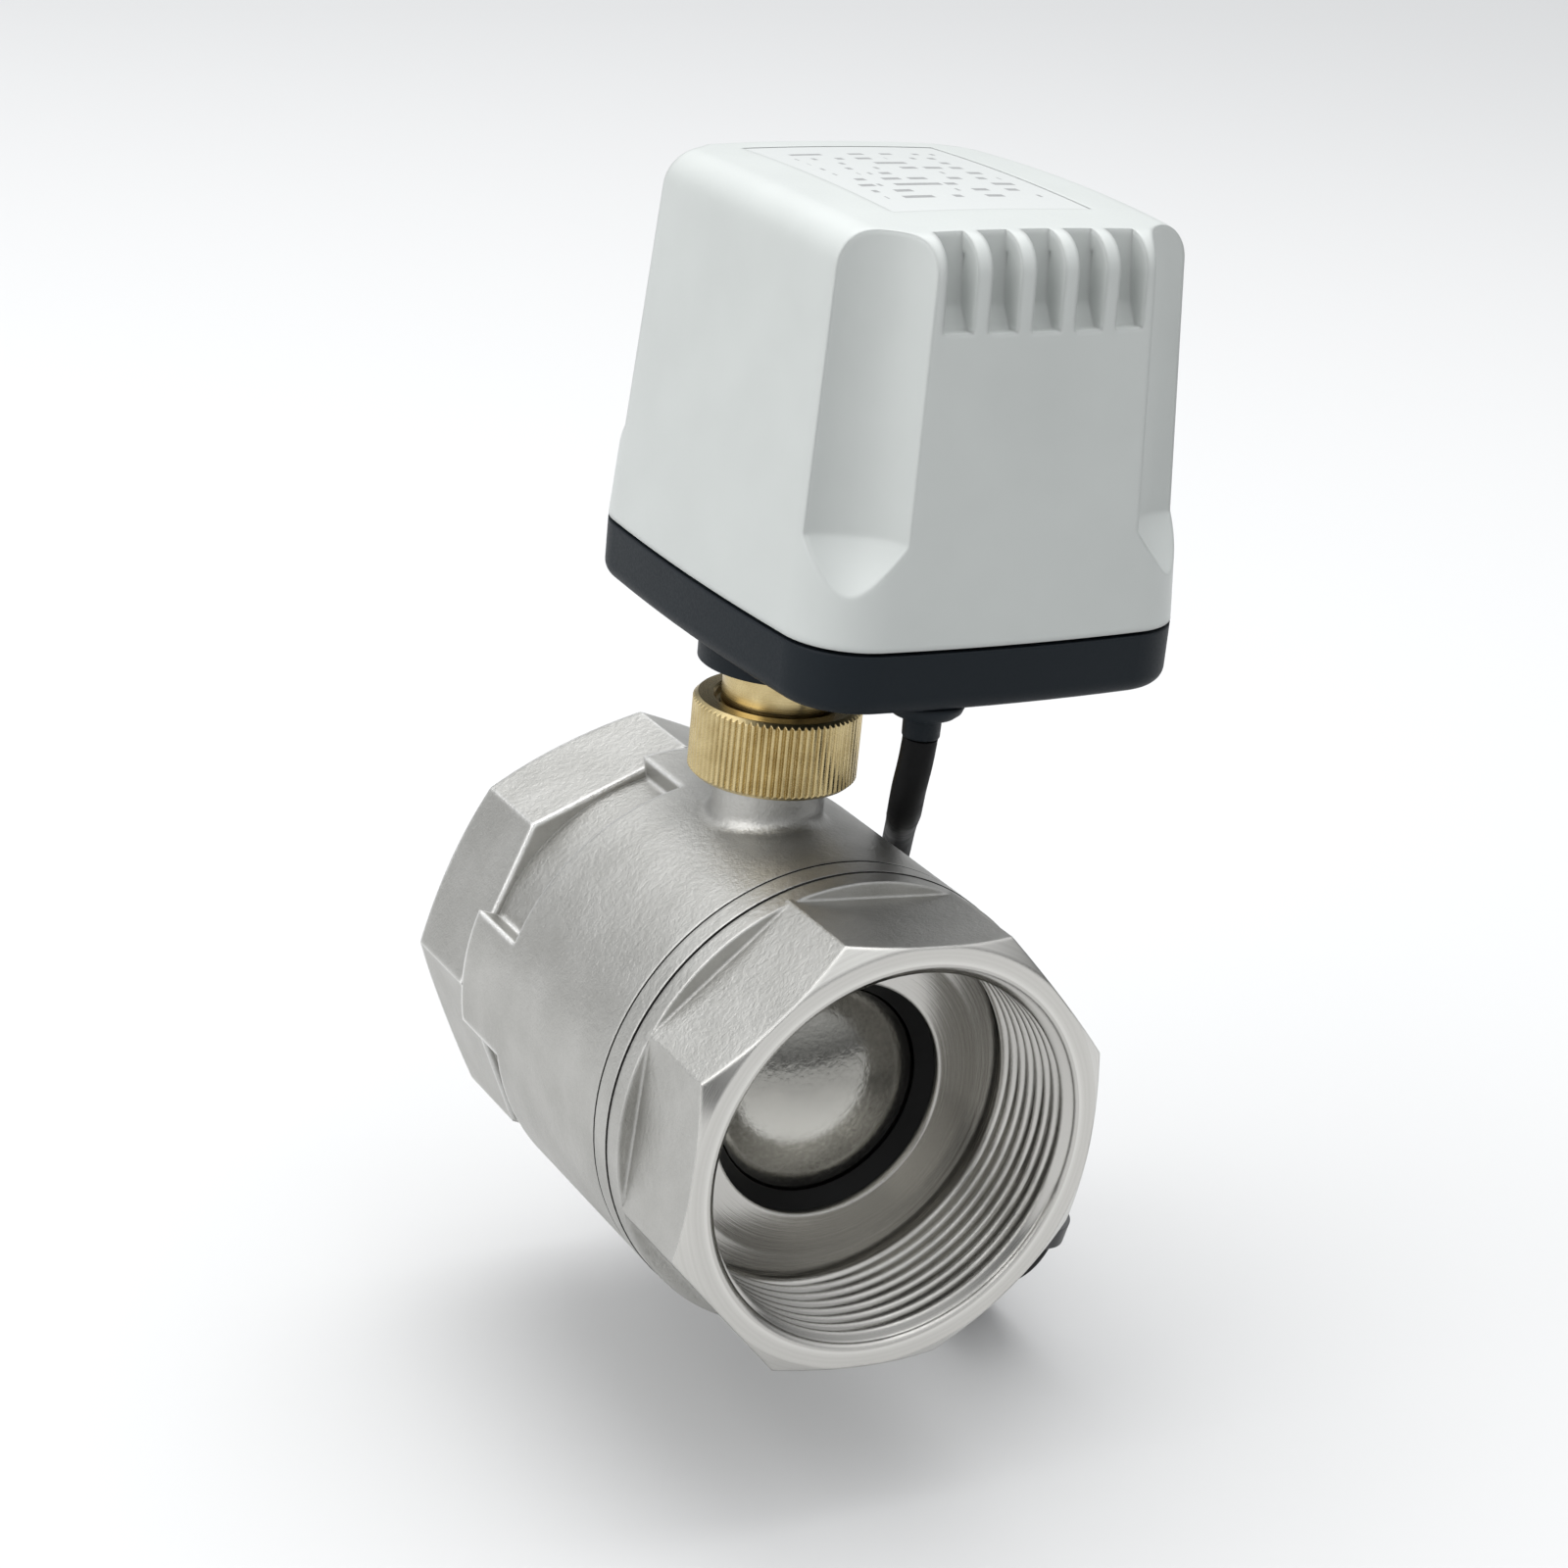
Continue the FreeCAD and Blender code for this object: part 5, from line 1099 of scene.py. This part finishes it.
@dataclass
class Studio:
    """Camera, pale floor, surroundings and soft lights."""

    camera_place: Point = (-233.35, -403.58, 216.07)
    camera_right: Point = (0.87687, -0.47176, 0.09241)
    camera_up: Point = (0.09204, 0.35344, 0.93092)
    camera_back: Point = (-0.47184, -0.80779, 0.35334)
    sensor: float = 36.0
    lens: float = 77.07
    nearest: float = 0.01
    sky: Colour = (0.97, 0.985, 1.0)
    horizon: float = 0.10
    zenith: float = 1.75
    floor_half: float = 30.0
    floor_tone: Colour = (0.55, 0.55, 0.55)
    floor_roughness: float = 0.9
    floor_edge: float = 1.0 * MM
    lit_point: Point = (0.0, 0.0, 0.05)
    lights: tuple[SoftLight, ...] = (
        SoftLight("key", (-1.25, -0.02, 0.75), 1.4, 12.0),
        SoftLight("top", (0.1, 0.3, 1.3), 1.3, 12.0),
    )

    def set_camera(self) -> None:
        """Place the camera where the photograph was taken from."""
        data = bpy.data.cameras.new("view")
        data.sensor_width = self.sensor
        data.lens = self.lens
        data.clip_start = self.nearest
        camera = bpy.data.objects.new("view", data)
        turn = Matrix((self.camera_right, self.camera_up, self.camera_back)).transposed().to_4x4()
        camera.matrix_world = Matrix.Translation(Vector(self.camera_place) * MM) @ turn
        bpy.context.scene.collection.objects.link(camera)
        bpy.context.scene.camera = camera

    def lay_floor(self, level: float) -> None:
        """Lay the pale floor.

        Args:
            level: The height of the floor in metres.
        """
        bpy.ops.mesh.primitive_plane_add(size=2 * self.floor_half, location=(0, 0, level))
        floor = bpy.context.active_object
        floor.name = "floor"
        work = Recipe("pale_floor")
        rounded = work.soft_edge(self.floor_edge)
        finish = work.surface(self.floor_tone, self.floor_roughness, rounded)
        floor.data.materials.append(finish)
        floor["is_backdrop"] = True

    def light_up(self) -> None:
        """Set the surroundings, which brighten upwards, and hang the lights."""
        world = bpy.data.worlds.new("surroundings")
        world.use_nodes = True
        tree = world.node_tree
        place = tree.nodes.new("ShaderNodeTexCoord")
        split = tree.nodes.new("ShaderNodeSeparateXYZ")
        rise = tree.nodes.new("ShaderNodeMapRange")
        rise.inputs["To Min"].default_value = self.horizon
        rise.inputs["To Max"].default_value = self.zenith
        background = tree.nodes["Background"]
        background.inputs["Color"].default_value = (*self.sky, 1.0)
        tree.links.new(place.outputs["Generated"], split.inputs[0])
        tree.links.new(split.outputs[2], rise.inputs["Value"])
        tree.links.new(rise.outputs["Result"], background.inputs["Strength"])
        bpy.context.scene.world = world
        bpy.context.scene.view_settings.view_transform = "Standard"
        for light in self.lights:
            light.hang(self.lit_point)


def main() -> None:
    """Load the solids, lay the cord, dress every piece and set the studio."""
    logging.basicConfig(level=logging.INFO, format="%(message)s")
    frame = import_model()
    solid_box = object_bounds()
    studio = Studio()
    studio.set_camera()
    shop = Shop()
    for assembly in (SupplyCord(), CableGland()):
        piece = assembly.build()
        assembly.attach(piece, shop)
        log.info("%s: built and dressed", piece.name)
    for group in valve_groups():
        group.dress(frame["nodes"], shop)
    studio.lay_floor(solid_box[0].z)
    studio.light_up()


if __name__ == "__main__":
    main()
